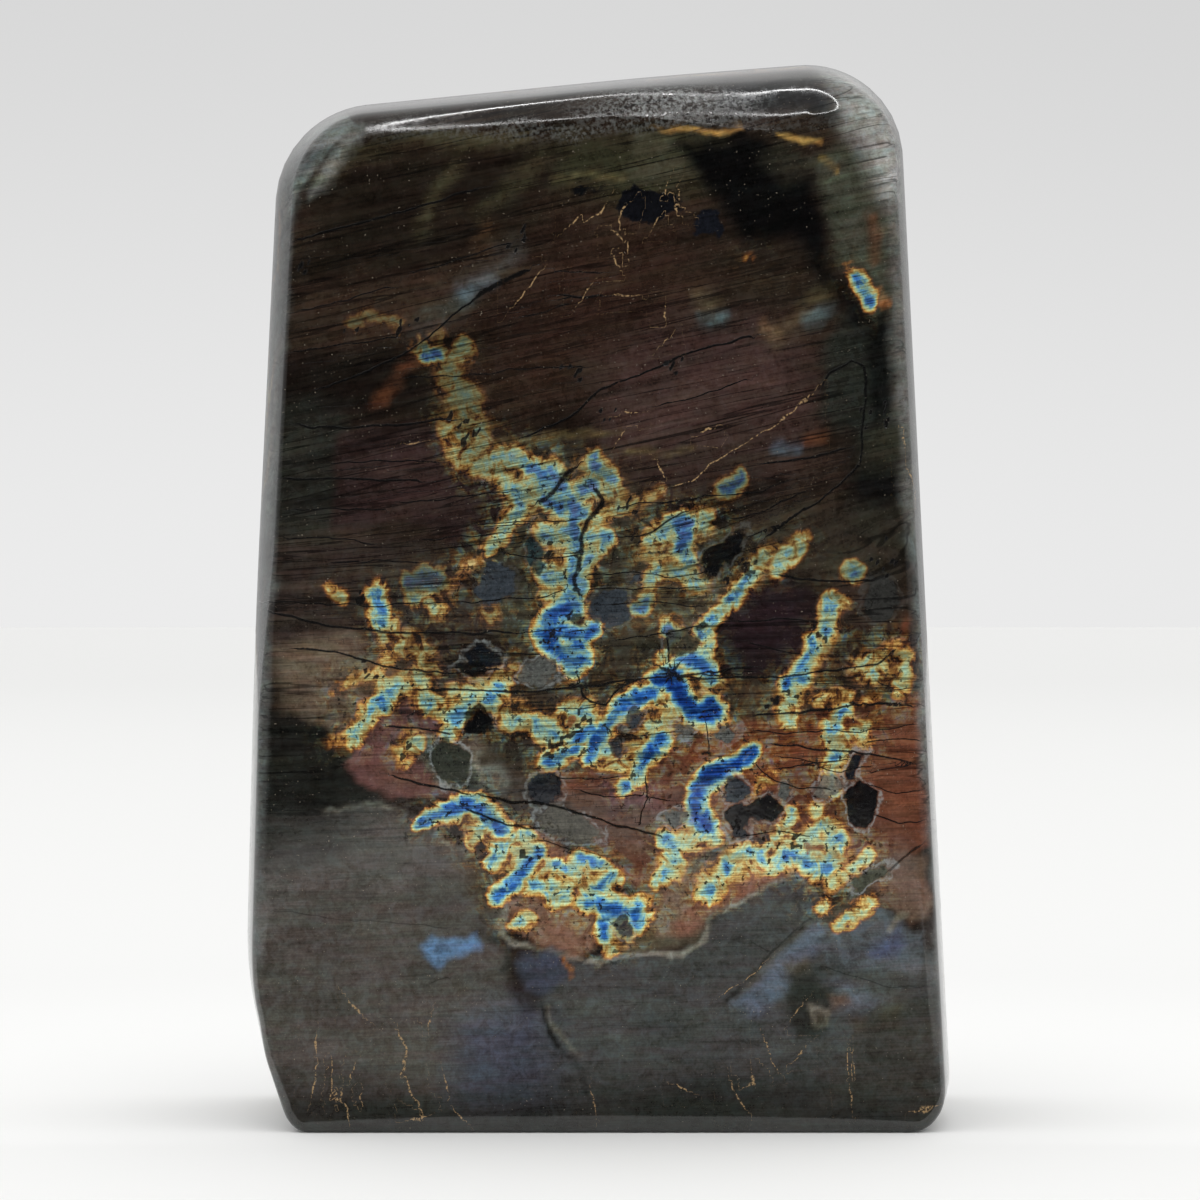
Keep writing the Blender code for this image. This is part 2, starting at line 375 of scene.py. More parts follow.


# The face's pattern, in mm from the middle of the base: x to the right and z up

# The ground below all the zones, and then the zones in the order they are laid, painted reflections on the
# rims among them: the tone out of 255, how far its edge blends, its strength, and its outline.
BASE_TONE = (38, 30, 24)
GROUND_AND_RIM_SHINE = (
    ((43, 30, 24), 9, 0.9, ((-14, 118), (16, 136), (14, 152), (-14, 153), (-20, 136))),
    ((27, 22, 17), 7, 0.9, ((-50, 138), (-26, 138), (-8, 150), (-10, 164), (-44, 162))),
    ((62, 47, 43), 6, 0.9, ((2, 111), (18, 109), (32, 111), (36, 121), (32, 133), (14, 136), (0, 127))),
    ((43, 34, 30), 5, 0.8, ((6, 104), (30, 104), (40, 112), (28, 116), (6, 112))),
    ((22, 18, 15), 4, 0.9, ((-56, 117), (-40, 118), (-28, 119), (-26, 124), (-34, 131), (-56, 130))),
    ((52, 40, 32), 4, 0.7, ((-50, 130), (-30, 133), (-14, 141), (-16, 147), (-34, 143), (-50, 139))),
    ((45, 44, 31), 3, 0.9, ((-8, 157), (6, 155), (20, 157), (22, 166), (-6, 166))),
    ((34, 34, 30), 3, 1, ((-58, 97), (-44, 97), (-41, 108), (-42, 121), (-58, 122))),
    ((17, 17, 16), 3, 1, ((41, 97), (56, 97), (54, 137), (43, 137))),
    ((46, 45, 36), 2.5, 0.8, ((43, 111), (56, 111), (54, 121), (44, 121))),
    ((52, 49, 40), 3, 0.9, ((-20, 112), (-4, 114), (8, 104), (22, 98), (20, 78), (-2, 76), (-18, 82),
        (-22, 98))),
    ((46, 39, 35), 3, 0.9, ((-58, 76), (-58, 97), (-40, 99), (-22, 96), (-18, 86), (-16, 74), (-36, 74))),
    ((42, 32, 30), 1.2, 1, ((-44, 116), (-36, 117), (-28, 117.5), (-25, 116), (-24.5, 113.5), (-22, 110.5),
        (-19, 108.5), (-16.5, 107), (-15.5, 104), (-16, 101), (-19, 98), (-24, 97.5),
        (-30, 101), (-44, 100))),
    ((48, 35, 33), 4, 0.6, ((-40, 114), (-27, 115), (-20, 107), (-18, 102), (-28, 102), (-40, 103))),
    ((44, 40, 33), 3, 0.8, ((20, 94), (38, 90), (54, 92), (55, 104), (42, 104), (24, 103))),
    ((33, 25, 26), 0.8, 1, ((19, 84), (25, 92.5), (31, 92.8), (36, 90), (37.5, 87), (34.5, 81), (31, 76),
        (20, 76.5), (18.5, 79))),
    ((34, 24, 27), 3, 0.8, ((21, 82), (26, 91), (34, 89), (32, 80), (22, 79))),
    ((66, 58, 46), 2, 0.9, ((4, 82), (17, 82), (20, 90), (16, 98), (5, 98))),
    ((48, 38, 32), 2, 0.8, ((36, 76), (54, 74), (56, 92), (40, 91), (36, 84))),
    ((92, 80, 67), 2.5, 0.9, ((-52, 68), (-54, 80), (-44, 83), (-34, 80), (-31, 74), (-38, 69), (-44, 66))),
    ((58, 50, 40), 2, 0.9, ((-30, 60), (-31, 74), (-14, 76), (6, 75), (36, 75), (36, 68), (0, 60),
        (-14, 56))),
    ((27, 27, 24), 1, 1, ((-62, 70), (-56, 70), (-50, 69.5), (-46, 67), (-42.5, 63), (-40, 59), (-37, 56.5),
        (-36, 54.5), (-41, 54), (-46, 53), (-52, 52), (-62, 50))),
    ((90, 55, 40), 0.6, 1, ((-8, 61), (-4, 60.5), (2, 60), (6, 61.5), (12, 64), (17, 66), (20, 67.5),
        (26, 68.5), (36, 70), (44, 70), (52, 72), (60, 74), (60, 50), (52.5, 47),
        (48, 45), (40, 43), (30, 50), (20, 49), (14, 44), (8, 41), (8, 44), (0, 47),
        (-2, 50), (-5, 55), (-11, 56))),
    ((108, 60, 38), 3, 0.7, ((14, 64), (24, 67), (34, 68.5), (40, 66), (34, 60), (24, 57), (16, 60))),
    ((76, 58, 48), 3, 0.8, ((-8, 56), (4, 58), (12, 52), (14, 45), (2, 48), (-4, 52))),
    ((86, 60, 56), 0.6, 1, ((-42.2, 61.5), (-41.3, 64.5), (-39.5, 66.5), (-36.5, 69), (-33.5, 71.5),
        (-31.5, 72.8), (-29, 70.6), (-26.8, 68.2), (-26, 66.3), (-30, 66), (-33.4, 65.2),
        (-33, 62), (-30.6, 61.8), (-28.4, 60.4), (-27.2, 58.2), (-23.5, 57), (-24, 55.6),
        (-29, 55.6), (-34.5, 55.5), (-39.5, 58.3))),
    ((104, 72, 58), 1.6, 0.6, ((-37, 60), (-32, 60.5), (-28, 58), (-33, 57.2))),
    ((46, 48, 42), 0.7, 1, ((-29.6, 65.4), (-25, 65.2), (-21.5, 61.5), (-20.2, 58), (-22, 56.6),
        (-26.3, 57.5), (-27.6, 60.8))),
    ((96, 100, 92), 1.4, 0.8, ((-21, 60.5), (-17, 61), (-15, 58), (-16.5, 56.3), (-20.5, 57))),
    ((112, 104, 92), 1.0, 0.7, ((-26, 66.4), (-20.5, 66), (-18.5, 63.4), (-21.5, 62.6))),
    ((42, 38, 32), 2.0, 0.8, ((-18, 70), (-12, 65), (-11, 61.5), (-15, 60.5), (-20, 64))),
    ((72, 69, 65), 1, 1, ((-62, 52), (-52, 52), (-46, 52.5), (-40, 53.5), (-36, 55), (-31, 52.5),
        (-28, 50.5), (-26, 47.5), (-22, 46), (-19, 44.5), (-17, 41), (-16, 38), (-15, 34),
        (-15.5, 30), (-14, 20), (-8, 0), (-62, -4))),
    ((38, 38, 35), 4, 0.85, ((-62, 43), (-50, 44), (-43, 47), (-38, 54), (-62, 54))),
    ((66, 56, 43), 2, 0.8, ((-24, 45), (-20, 47), (-15, 46), (-14, 37), (-17, 35), (-21, 38))),
    ((114, 86, 70), 0.8, 1, ((-15.5, 38), (-10, 39.5), (-5, 40), (-2, 41), (-2.5, 37), (-0.5, 35),
        (-0.5, 31), (-5, 29.5), (-7, 31), (-10, 31.5), (-15, 33.5))),
    ((118, 84, 66), 1, 0.9, ((-18, 48), (-10, 50), (-4, 46), (8, 44), (9, 41), (2, 43), (-6, 42), (-14, 44))),
    ((84, 76, 62), 1.5, 0.95, ((3, 30), (7, 41), (16, 46), (22, 44), (19, 37), (16, 32), (8, 30))),
    ((124, 88, 72), 1.0, 0.9, ((8, 36), (12, 42), (20, 43), (27, 45.5), (34, 46), (31, 43), (25, 40),
        (19, 36), (15, 33), (10, 33))),
    ((92, 62, 72), 2.0, 0.6, ((0, 58), (8, 59), (10, 54), (2, 53))),
    ((64, 65, 64), 1, 1, ((-6, 30), (-2, 29), (3, 29.5), (10, 30), (14, 30), (17, 32.5), (19, 36), (22, 38),
        (25, 40), (30, 42.5), (33, 43), (34.5, 41), (36, 39), (40, 34), (45, 31), (62, 30),
        (62, -4), (-9, -4), (-12, 18), (-8, 27))),
    ((104, 98, 86), 1.2, 0.7, ((8, 35), (15, 45), (19, 46), (14, 37), (11, 33))),
    ((74, 70, 60), 1.2, 0.8, ((22, 21), (26, 26), (30, 30.5), (36, 37), (40, 39), (46, 44.5), (47, 42),
        (40, 35.5), (34, 31), (29, 26))),
    ((82, 90, 102), 1.0, 0.9, ((21.5, 21.5), (26, 24.5), (30, 29.2), (35.5, 35.3), (37, 34), (35.8, 30),
        (33, 27.6), (31.5, 23.5), (26.5, 19.3))),
    ((78, 82, 86), 0.7, 0.9, ((36.2, 31), (40, 34.4), (43, 36), (46, 38), (48, 36.6), (51.5, 34), (54, 34),
        (54, 27), (44, 27), (37.5, 28))),
    ((94, 74, 62), 0.9, 0.95, ((45.5, 41), (47, 37.8), (49, 36.8), (51.5, 35), (54.6, 38), (53.8, 46),
        (51, 47), (47.5, 45))),
    ((74, 80, 108), 1.4, 0.8, ((44.8, 29.6), (46.5, 31.8), (49.5, 34), (50, 32), (47.5, 29.4))),
    ((80, 86, 94), 1.2, 0.8, ((38, 24.5), (41, 25.3), (45, 22.5), (48, 21), (43, 19.4), (38.4, 21.5))),
    ((78, 70, 58), 1.2, 0.8, ((30, 27.5), (33.5, 29), (35, 27), (33.5, 25.5), (31, 25.8))),
    ((38, 40, 36), 1.5, 0.9, ((32, 26), (36.5, 27), (39, 22), (37.5, 17), (33, 15.5), (31, 18))),
    ((72, 68, 58), 1.0, 0.8, ((35.4, 20.8), (38, 20.4), (37.6, 18.2), (35.8, 18.4))),
    ((90, 72, 58), 1.0, 0.8, ((37.8, 23), (39.8, 23.2), (41, 21.4), (39, 20.6))),
    ((76, 66, 55), 1.2, 0.7, ((41.5, 18.6), (44.5, 18.8), (44.5, 16.2), (42, 16.4))),
    ((84, 78, 60), 1.8, 0.8, ((46, 20.5), (50.5, 20.6), (50.3, 17), (46.5, 17.2))),
    ((60, 62, 58), 2.0, 0.6, ((13, 16), (18, 16.4), (18, 20.6), (13.5, 20.4))),
    ((65, 69, 80), 5, 0.9, ((-24, 2), (-8, 2), (-9, 18), (-14, 22), (-24, 19))),
    ((33, 34, 31), 5, 0.9, ((-60, -4), (64, -4), (64, 8), (20, 10), (-24, 6), (-60, 9))),
    ((54, 53, 48), 4, 0.8, ((38, 6), (58, 4), (58, 24), (44, 20))),
    ((88, 114, 146), 0.9, 1, ((-28.7, 31), (-27.5, 32.3), (-25, 32), (-22, 31.8), (-20.2, 33), (-20, 30.5),
        (-22, 29), (-25, 28.8), (-26.5, 27.3), (-28.3, 28.5))),
    ((58, 62, 74), 1, 0.9, ((-14, 27.5), (-13, 29.2), (-10.5, 30), (-8, 31), (-6.3, 30.5), (-5.8, 28.8),
        (-4.7, 27), (-6, 25.5), (-8, 24), (-10, 23.6), (-12.5, 24.8))),
    ((58, 57, 44), 2.0, 0.9, ((4, 158), (13, 157), (16, 160), (13, 165), (6, 166))),
    ((60, 62, 52), 1.8, 0.9, ((35, 161), (41, 164.5), (46.5, 160), (48, 150), (48, 138), (46, 135),
        (44.5, 143), (40, 144), (38, 150), (37.5, 156))),
    ((36, 38, 34), 1.6, 0.9, ((37, 131), (41, 136), (45, 134), (49, 136), (49.5, 118), (44, 116), (37, 118))),
    ((15, 16, 15), 1.4, 0.9, ((45, 134), (49.3, 135), (49.5, 120), (46, 118), (44.3, 124))),
    ((11, 11, 11), 2.0, 1, ((12.5, 164), (18, 165.5), (27, 165), (33, 162), (36.5, 159), (37, 152),
        (37.5, 145), (41, 139), (44.5, 134), (42.5, 133), (38, 139), (34.5, 145),
        (31, 148.5), (25, 148), (22, 151.5), (18.5, 156))),
    ((44, 42, 34), 2.2, 0.7, ((30, 164), (34, 163), (36, 160), (31, 158), (27, 161))),
    ((72, 52, 40), 0.8, 0.7, ((45, 153), (46.4, 152.5), (46.8, 146), (45.6, 144), (44.8, 148))),
    ((61, 61, 52), 1, 0.9, ((40, 151), (43, 152.5), (44.8, 148), (43.5, 143), (40, 145))),
    # The next seven zones are painted reflections of the room on the rounded sides: pale bands down the left
    # and the right, a darker stretch high on the left, and painted highlights at both upper corners.
    ((100, 106, 103), 0.5, 0.85, ((-62, 98), (-54.6, 98), (-54.1, 120), (-53.2, 140), (-51.6, 152),
        (-49, 158), (-45.5, 163), (-41, 167), (-46, 174), (-62, 174))),
    ((130, 135, 132), 1.3, 0.6, ((-47.6, 155), (-46.3, 160.5), (-43, 164.5), (-40, 167), (-40.2, 165),
        (-42.5, 161.5), (-44.8, 158))),
    ((84, 88, 86), 1.4, 0.8, ((-64, -4), (-53.2, 4), (-56.6, 20), (-56.2, 60), (-54.2, 98), (-64, 98))),
    ((92, 92, 87), 1.6, 0.8, ((44, 168), (47.4, 162), (48.6, 140), (49.8, 120), (51.2, 98), (62, 98),
        (62, 168))),
    ((94, 97, 95), 0.8, 0.85, ((51.6, 98), (53.6, 60), (56.6, 20), (57.5, 6), (66, 6), (64, 98))),
    # A painted highlight where the upper right corner mirrors the room.
    ((152, 153, 149), 3.4, 0.85, ((38, 180), (46, 176), (54, 166), (53, 154), (47.5, 156), (45, 162),
        (42, 166), (39.5, 170))),
    ((74, 78, 77), 2.0, 0.85, ((-62, 130), (-53, 130), (-51.6, 152), (-49, 158), (-47, 162), (-52, 168),
        (-62, 168))),
    ((20, 24, 28), 2.2, 0.8, ((20, 170), (34, 170), (39, 168), (38, 173), (30, 175), (20, 174.5))),
)

# Soft lines: the tone, half the width, the blend, the strength, and the points they run through.
LINES = (
    ((158, 122, 66), 0.34, 0.9, 0.95, ((8, 166.6), (15, 166.5), (24, 166.1))),
    ((152, 118, 66), 0.3, 0.9, 0.9, ((30.5, 165.7), (33, 165.2), (36.5, 164.3))),
    ((132, 108, 58), 0.4, 0.8, 0.7, ((37, 162), (38.4, 161.2), (39.5, 160))),
    ((70, 66, 46), 1.4, 3.4, 0.6, ((-46, 159), (-40, 163), (-30, 165), (-12, 165))),
    ((66, 62, 44), 1.0, 3.2, 0.55, ((-30, 150), (-27, 156), (-23, 163))),
    ((68, 64, 46), 0.9, 3.0, 0.55, ((-20, 152), (-14, 158), (-9, 163))),
    ((92, 84, 56), 0.5, 1.0, 0.6, ((-8, 158.6), (-2, 159.6), (4, 158.5))),
    ((72, 78, 76), 1.6, 3.5, 0.5, ((-30, 133), (-24, 138), (-14, 147))),
    ((116, 136, 150), 1.0, 2.6, 0.6, ((-23.5, 139.6), (-21, 140.8), (-18.5, 142))),
    ((112, 66, 42), 1.0, 2.4, 0.45, ((-36.5, 121), (-34, 123.5), (-32, 126.5), (-30.5, 128))),
    ((92, 62, 40), 0.7, 1.8, 0.5, ((45.5, 152), (46.2, 149), (45.5, 145))),
    ((150, 92, 46), 0.9, 1.0, 0.6, ((46, 139.5), (47.2, 137.5))),
    ((96, 82, 52), 0.5, 0.8, 0.5, ((-19, 114.5), (-12, 115), (0, 116.3), (4, 116.7))),
    ((96, 82, 52), 0.5, 0.8, 0.5, ((5, 112.2), (10, 112.6), (15, 113.2))),
    ((120, 74, 46), 1.0, 1.2, 0.5, ((35, 115), (37.5, 115.4))),
    ((70, 82, 92), 1.2, 1.4, 0.6, ((29.5, 113.5), (33, 113.6))),
    ((92, 82, 62), 1.6, 4.0, 0.5, ((17, 139), (19, 137))),
    ((84, 104, 108), 1.1, 2.2, 0.7, ((17, 135), (20.5, 135.2))),
    ((88, 80, 56), 1.4, 3.6, 0.55, ((30, 132), (33.5, 135), (37, 138.5))),
    ((76, 100, 104), 1.0, 2.4, 0.7, ((34.5, 134.5), (37.8, 136.3))),
    ((120, 94, 70), 0.8, 2.6, 0.6, ((27.5, 133.4), (29.8, 132.4))),
    ((86, 64, 44), 1.2, 3.0, 0.45, ((-20, 147), (-18.5, 149))),
    ((140, 140, 128), 0.35, 0.7, 0.7, ((-2, 29), (3, 29.5), (10, 30), (14, 30), (17, 32.5), (19, 36),
        (22, 38), (25, 40), (30, 42.5), (33, 43), (34.5, 41), (36, 39))),
    ((120, 120, 108), 0.3, 0.8, 0.5, ((-46, 52.5), (-40, 53.5), (-36, 55), (-31, 52.5), (-28, 50.5),
        (-26, 47.5), (-22, 46))),
    ((138, 134, 120), 0.4, 0.7, 0.6, ((-15.5, 38), (-16, 34), (-15, 31), (-10, 31), (-7, 30.5), (-3, 29.5))),
    ((150, 96, 46), 0.35, 0.6, 0.8, ((-6, 29.8), (-4.5, 28), (-4.8, 26))),
    ((112, 122, 134), 0.35, 0.9, 0.7, ((36, 31), (40, 34.5), (43, 36), (46, 38))),
    ((118, 116, 104), 0.3, 0.9, 0.6, ((35.4, 20.8), (38, 20.4), (37.6, 18.2), (35.8, 18.4), (35.4, 20.8))),
    ((118, 112, 98), 0.35, 0.8, 0.6, ((48.5, 34), (49.5, 35.5), (50.4, 36.3))),
    ((128, 126, 116), 0.35, 0.8, 0.7, ((-29.6, 65.6), (-25, 65.4), (-21.5, 62), (-20, 58), (-22, 56.5),
        (-26.4, 57.4), (-27.8, 60.8), (-29.4, 61.8))),
    ((24, 22, 18), 0.35, 0.6, 0.8, ((21, 22.4), (24, 24.5), (27, 27.4), (29, 29.8), (33, 34))),
    ((26, 26, 24), 0.8, 1.4, 0.7, ((-19.5, 33), (-16, 31), (-15.5, 27))),
    ((24, 24, 22), 0.5, 0.7, 0.9, ((-9.5, 21), (-8, 17), (-7.2, 13.5), (-5, 12), (-2.5, 9), (-0.5, 5.5))),
    ((110, 106, 94), 0.4, 1.0, 0.5, ((-8.8, 21), (-7, 17), (-5.5, 14.5), (-3, 12.5))),
    ((20, 18, 16), 0.9, 1.6, 0.7, ((-49, 52.5), (-46, 52))),
    ((96, 52, 34), 0.5, 0.8, 0.6, ((50.5, 86), (51, 80), (51.5, 74))),
)

# The part of the face where pale mottling fills the ground between the veins.
LIVELY = (
    (-46, 66), (-44, 78), (-34, 90), (-24, 96), (-26, 120), (-6, 114), (6, 106), (20, 104), (28, 98),
    (30, 93), (20, 90), (18, 82), (30, 76), (40, 88), (52, 82), (52, 60), (50, 40), (40, 36), (22, 38),
    (6, 28), (-16, 30), (-18, 38), (-32, 50), (-26, 58),
)

# Flash: its highest colour along the ramp, its strength, and its run as x, z and half the width.
FLASH = (
    (0.40, 0.55, ((-20, 112, 2.6), (-14.5, 108.5, 3.6), (-11, 106, 4.2), (-6, 104, 4.6), (-4, 99, 3.8),
        (-4, 93, 3.4))),
    (0.38, 0.42, ((-2, 110, 3.0), (1, 107, 3.4), (3, 104, 2.0))),
    (0.36, 0.42, ((9.5, 97, 2.8), (13, 98.5, 4.2), (17, 101, 3.0))),
    (0.34, 0.40, ((12, 93, 2.6), (16, 92, 2.4))),
    (0.36, 0.50, ((12, 80, 2.4), (15, 77.5, 3.4), (19, 75, 2.6))),
    (0.36, 0.62, ((-38.5, 75, 2.0), (-35, 73.5, 3.4), (-32, 75.5, 2.6), (-28.5, 72, 2.4))),
    (0.34, 0.42, ((-35, 83, 2.0), (-31.5, 81, 3.0), (-28, 77.5, 2.4))),
    (0.36, 0.62, ((-24, 73, 1.6), (-18, 74.5, 2.4), (-15, 76, 1.8))),
    (0.37, 0.72, ((-15.5, 69.5, 2.4), (-11, 68, 3.6), (-6, 66.5, 3.6), (-3, 70, 2.6))),
    (0.36, 0.62, ((6, 64.5, 2.2), (8.5, 67, 2.6), (12.5, 69, 2.2))),
    (0.36, 0.60, ((18, 41.5, 2.4), (23, 45.5, 3.0), (29, 46, 3.2), (35, 47.5, 4.0), (38.5, 46.5, 3.4))),
    (0.36, 0.55, ((11, 42.5, 2.0), (12.5, 47, 2.8), (16.5, 50.5, 3.0))),
    (0.36, 0.58, ((-15, 41, 2.4), (-12.5, 46.5, 3.2), (-7, 42.5, 3.0), (-2, 42, 3.4), (2, 37.5, 3.6),
        (4, 33, 2.2))),
    (0.34, 0.50, ((-28, 52, 1.6), (-21, 52.5, 3.0), (-17, 49.5, 3.0))),
    (0.36, 0.55, ((40, 72, 2.2), (40.5, 67, 3.4), (39, 61, 2.6))),
    (0.34, 0.50, ((44.5, 77, 3.0), (49.5, 76.5, 2.6))),
    (0.34, 0.50, ((31, 72, 2.4), (33, 76, 2.8), (37, 82, 2.0), (39, 88, 1.4))),
    (0.30, 0.45, ((20, 87, 1.8), (26, 94, 2.2), (32, 97, 2.0))),
    (0.75, 0.9, ((-11.5, 110.5, 1.8), (-9.5, 109.5, 2.6), (-7.5, 107.5, 2.0))),
    (0.52, 0.6, ((-20, 110.5, 1.4), (-17.5, 112, 1.8), (-14, 112.3, 1.4))),
    (0.6, 0.9, ((-14, 106.5, 1.6), (-13, 104, 1.8), (-13, 102, 1.5))),
    (0.82, 0.9, ((-9, 105, 1.6), (-6, 103.8, 2.2), (-3, 102.3, 1.8))),
    (0.75, 0.8, ((-3.5, 106.5, 1.2), (-1.5, 107.5, 1.3))),
    (0.72, 0.7, ((-1.5, 112, 1.0), (-0.8, 110.3, 1.5), (1.2, 109, 1.3))),
    (0.55, 0.95, ((-14.5, 101.8, 1.1), (-16.5, 99, 1.0), (-18.8, 96.6, 0.8))),
    (0.65, 0.9, ((-9, 98.7, 1.4), (-6.5, 98.8, 1.6))),
    (0.38, 0.95, ((2.2, 103.2, 0.7), (0.2, 101.8, 0.9), (-1.6, 99.5, 0.9), (-2.2, 97.5, 0.7))),
    (0.3, 0.5, ((2.2, 103.2, 0.7), (6, 105, 0.8), (10, 107, 0.7))),
    (0.72, 1, ((-4.4, 101.5, 1.6), (-4.6, 100, 1.2), (-4.3, 95, 1.2), (-4.2, 92, 1.1))),
    (0.62, 0.9, ((-1.5, 99, 1.1), (-2, 95, 1.1), (-2.8, 92, 1.0), (-3.5, 90.5, 0.8))),
    (0.8, 0.8, ((0.7, 98.3, 1.3), (0.8, 98.2, 1.2))),
    (0.6, 0.8, ((-9, 93, 1.4), (-6.5, 92.5, 1.5))),
    (0.45, 0.8, ((-9, 89.5, 1.1), (-6, 88.7, 1.1))),
    (0.65, 0.9, ((-4.2, 90.5, 1.2), (-4, 87.5, 1.5), (-4.6, 86, 1.2))),
    (0.9, 1, ((-5.2, 86.8, 1.2), (-8.3, 84.8, 1.8), (-9, 82.5, 1.3), (-8.6, 80.5, 1.4), (-6.8, 78.6, 1.7),
        (-4.5, 77.5, 1.6), (-2.8, 77.8, 1.1))),
    (0.85, 0.95, ((-6.5, 82.5, 1.6), (-3.2, 82, 2.0), (-2, 83.2, 1.3))),
    (0.82, 0.95, ((-6, 80, 1.5), (-3, 79.5, 1.6))),
    (0.75, 0.6, ((6.2, 86.8, 1.1), (7.3, 88.5, 1.0))),
    (0.55, 0.8, ((7.8, 91.8, 1.2), (9.2, 93.2, 1.3))),
    (0.58, 0.85, ((14.5, 96, 1.2), (15, 93.5, 1.4), (13, 92, 1.3), (15.8, 91.5, 1.0))),
    (0.58, 0.9, ((8.5, 98.5, 1.2), (12, 100.3, 1.8), (15, 101.2, 2.2), (18, 102, 1.2))),
    (0.85, 0.95, ((14.8, 101.2, 1.6), (14.3, 99, 1.3), (13.3, 97.5, 1.2))),
    (0.8, 0.35, ((21, 107, 1.2), (22.5, 108.5, 1.0))),
    (0.65, 1, ((16.5, 82.8, 0.8), (18.3, 84.8, 1.0), (19.5, 86.5, 1.1), (21.5, 88, 1.1), (22.7, 90, 1.1),
        (24.2, 92, 1.0), (25, 93, 0.7))),
    (0.62, 0.7, ((26.5, 94.7, 1.3), (27, 95.2, 1.0))),
    (0.52, 0.8, ((30, 94, 1.0), (32, 96.3, 1.3), (34, 98.5, 0.9))),
    (0.5, 0.9, ((18.2, 81.3, 0.6), (17.3, 79.7, 0.8), (15.7, 78.8, 0.8))),
    (0.75, 0.95, ((13.7, 78.5, 1.3), (16.5, 77, 1.4), (18.5, 75.5, 1.2))),
    (1.0, 1, ((9.5, 75, 1.3), (11.5, 75.7, 1.6), (13.5, 73.5, 1.6), (14.5, 71.5, 1.6), (16, 69.8, 1.7),
        (18.3, 69.6, 1.6), (18.8, 71, 1.1))),
    (0.5, 0.9, ((18.5, 69, 1.4), (19.5, 70, 1.6))),
    (0.34, 0.9, ((14, 68, 0.7), (17, 67.7, 0.8), (20, 68.2, 0.8))),
    (0.8, 0.7, ((11.5, 83, 1.8), (12, 82.6, 1.5))),
    (0.6, 0.9, ((10.5, 79, 1.2), (11.5, 80.5, 1.1))),
    (0.8, 1, ((9, 72.5, 1.3), (6, 72, 1.5), (3.5, 70.5, 1.6), (1.5, 68, 1.6), (0, 66, 1.4), (-0.5, 64, 1.4),
        (-1.5, 62.6, 1.1))),
    (0.6, 0.9, ((0.8, 64.5, 1.1), (2, 63.5, 1.0))),
    (0.36, 0.9, ((-1.5, 61.8, 0.8), (1, 61, 0.8), (3.5, 61.8, 0.8), (5, 63, 0.7))),
    (0.72, 1, ((-1, 67.5, 1.1), (-3, 65.8, 1.3), (-5, 64.3, 1.3), (-7, 62.8, 1.1), (-8.7, 61.6, 0.8))),
    (0.6, 0.85, ((-15, 68.5, 1.6), (-12, 68, 2.2), (-9, 67, 2.4), (-6.5, 66, 1.8))),
    (0.55, 0.85, ((-5.5, 70.5, 1.6), (-3, 70.5, 1.8), (-1.5, 69, 1.6))),
    (0.72, 1, ((-18.3, 71.5, 1.4), (-16.5, 73.8, 1.4))),
    (0.24, 0.8, ((-15.5, 71, 1.5), (-12, 70.4, 1.5))),
    (0.82, 1, ((7.5, 62.7, 1.5), (9, 64.2, 1.8), (11, 65.5, 1.3))),
    (0.66, 0.95, ((6.5, 61.5, 1.0), (6.3, 60, 1.0), (5.5, 58.3, 1.1), (4.3, 57, 1.3))),
    (0.33, 0.9, ((8.5, 68, 0.8), (10.5, 68.5, 0.9), (12.5, 67.5, 0.7))),
    (0.33, 0.9, ((10, 71, 0.8), (12.5, 71.5, 0.9), (13.3, 70, 0.7))),
    (0.95, 1, ((24.8, 63.5, 0.9), (23.5, 61.8, 1.1), (21, 60.5, 1.4), (19, 59.7, 1.8), (17.2, 57.8, 2.2),
        (15.8, 55.5, 2.3), (16, 53, 2.2), (17.5, 51.7, 2.0))),
    (0.65, 0.95, ((11.5, 49, 1.3), (12.5, 47.5, 1.7), (12, 45.5, 1.6), (11, 43.5, 1.1), (10.3, 41.5, 0.9))),
    (0.5, 0.85, ((12, 48.7, 1.0), (15, 49, 1.1), (19, 49.6, 1.1))),
    (0.6, 1, ((31, 45.5, 1.0), (28.5, 45, 1.4), (27, 46.3, 1.5), (25, 47, 1.3), (23, 46, 1.3),
        (21, 44.3, 1.4), (19.7, 42, 1.2), (19.3, 40.3, 1.2), (17.5, 39, 1.2))),
    (0.75, 1, ((21.2, 43.8, 1.1), (21, 43.4, 1.0))),
    (0.8, 1, ((31.5, 46.3, 1.5), (32.8, 46.5, 1.8))),
    (0.45, 0.9, ((29.5, 48.5, 1.2), (33, 49, 1.2))),
    (0.55, 0.9, ((31, 50.5, 1.0), (32.3, 52, 1.0), (33, 53.5, 0.8))),
    (0.62, 0.95, ((37, 51.5, 1.2), (38.8, 49.5, 1.5), (39, 47, 1.4), (38.3, 44.8, 1.6), (36, 43.8, 1.5),
        (34.5, 44.5, 1.0))),
    (0.45, 0.9, ((37, 51.5, 0.9), (35, 49.5, 0.9), (34.2, 47, 0.9), (34.5, 45, 0.9))),
    (0.62, 1, ((41.5, 70.3, 0.9), (40, 69.3, 1.4), (38.7, 67.5, 1.5), (38.8, 66, 1.4), (39.8, 64, 1.5),
        (39, 62, 1.3))),
    (0.48, 0.95, ((39, 62, 1.3), (38, 60, 1.2), (38.5, 58, 1.1), (39, 57, 0.8))),
    (0.5, 0.9, ((40.5, 65.5, 0.9), (42.5, 66.8, 1.0), (44, 67, 0.9), (44.3, 65, 0.8))),
    (0.72, 1, ((31, 74.5, 1.0), (32.8, 75.5, 1.9), (34, 77.5, 1.5), (35.3, 80, 1.1), (34.8, 81.8, 0.8))),
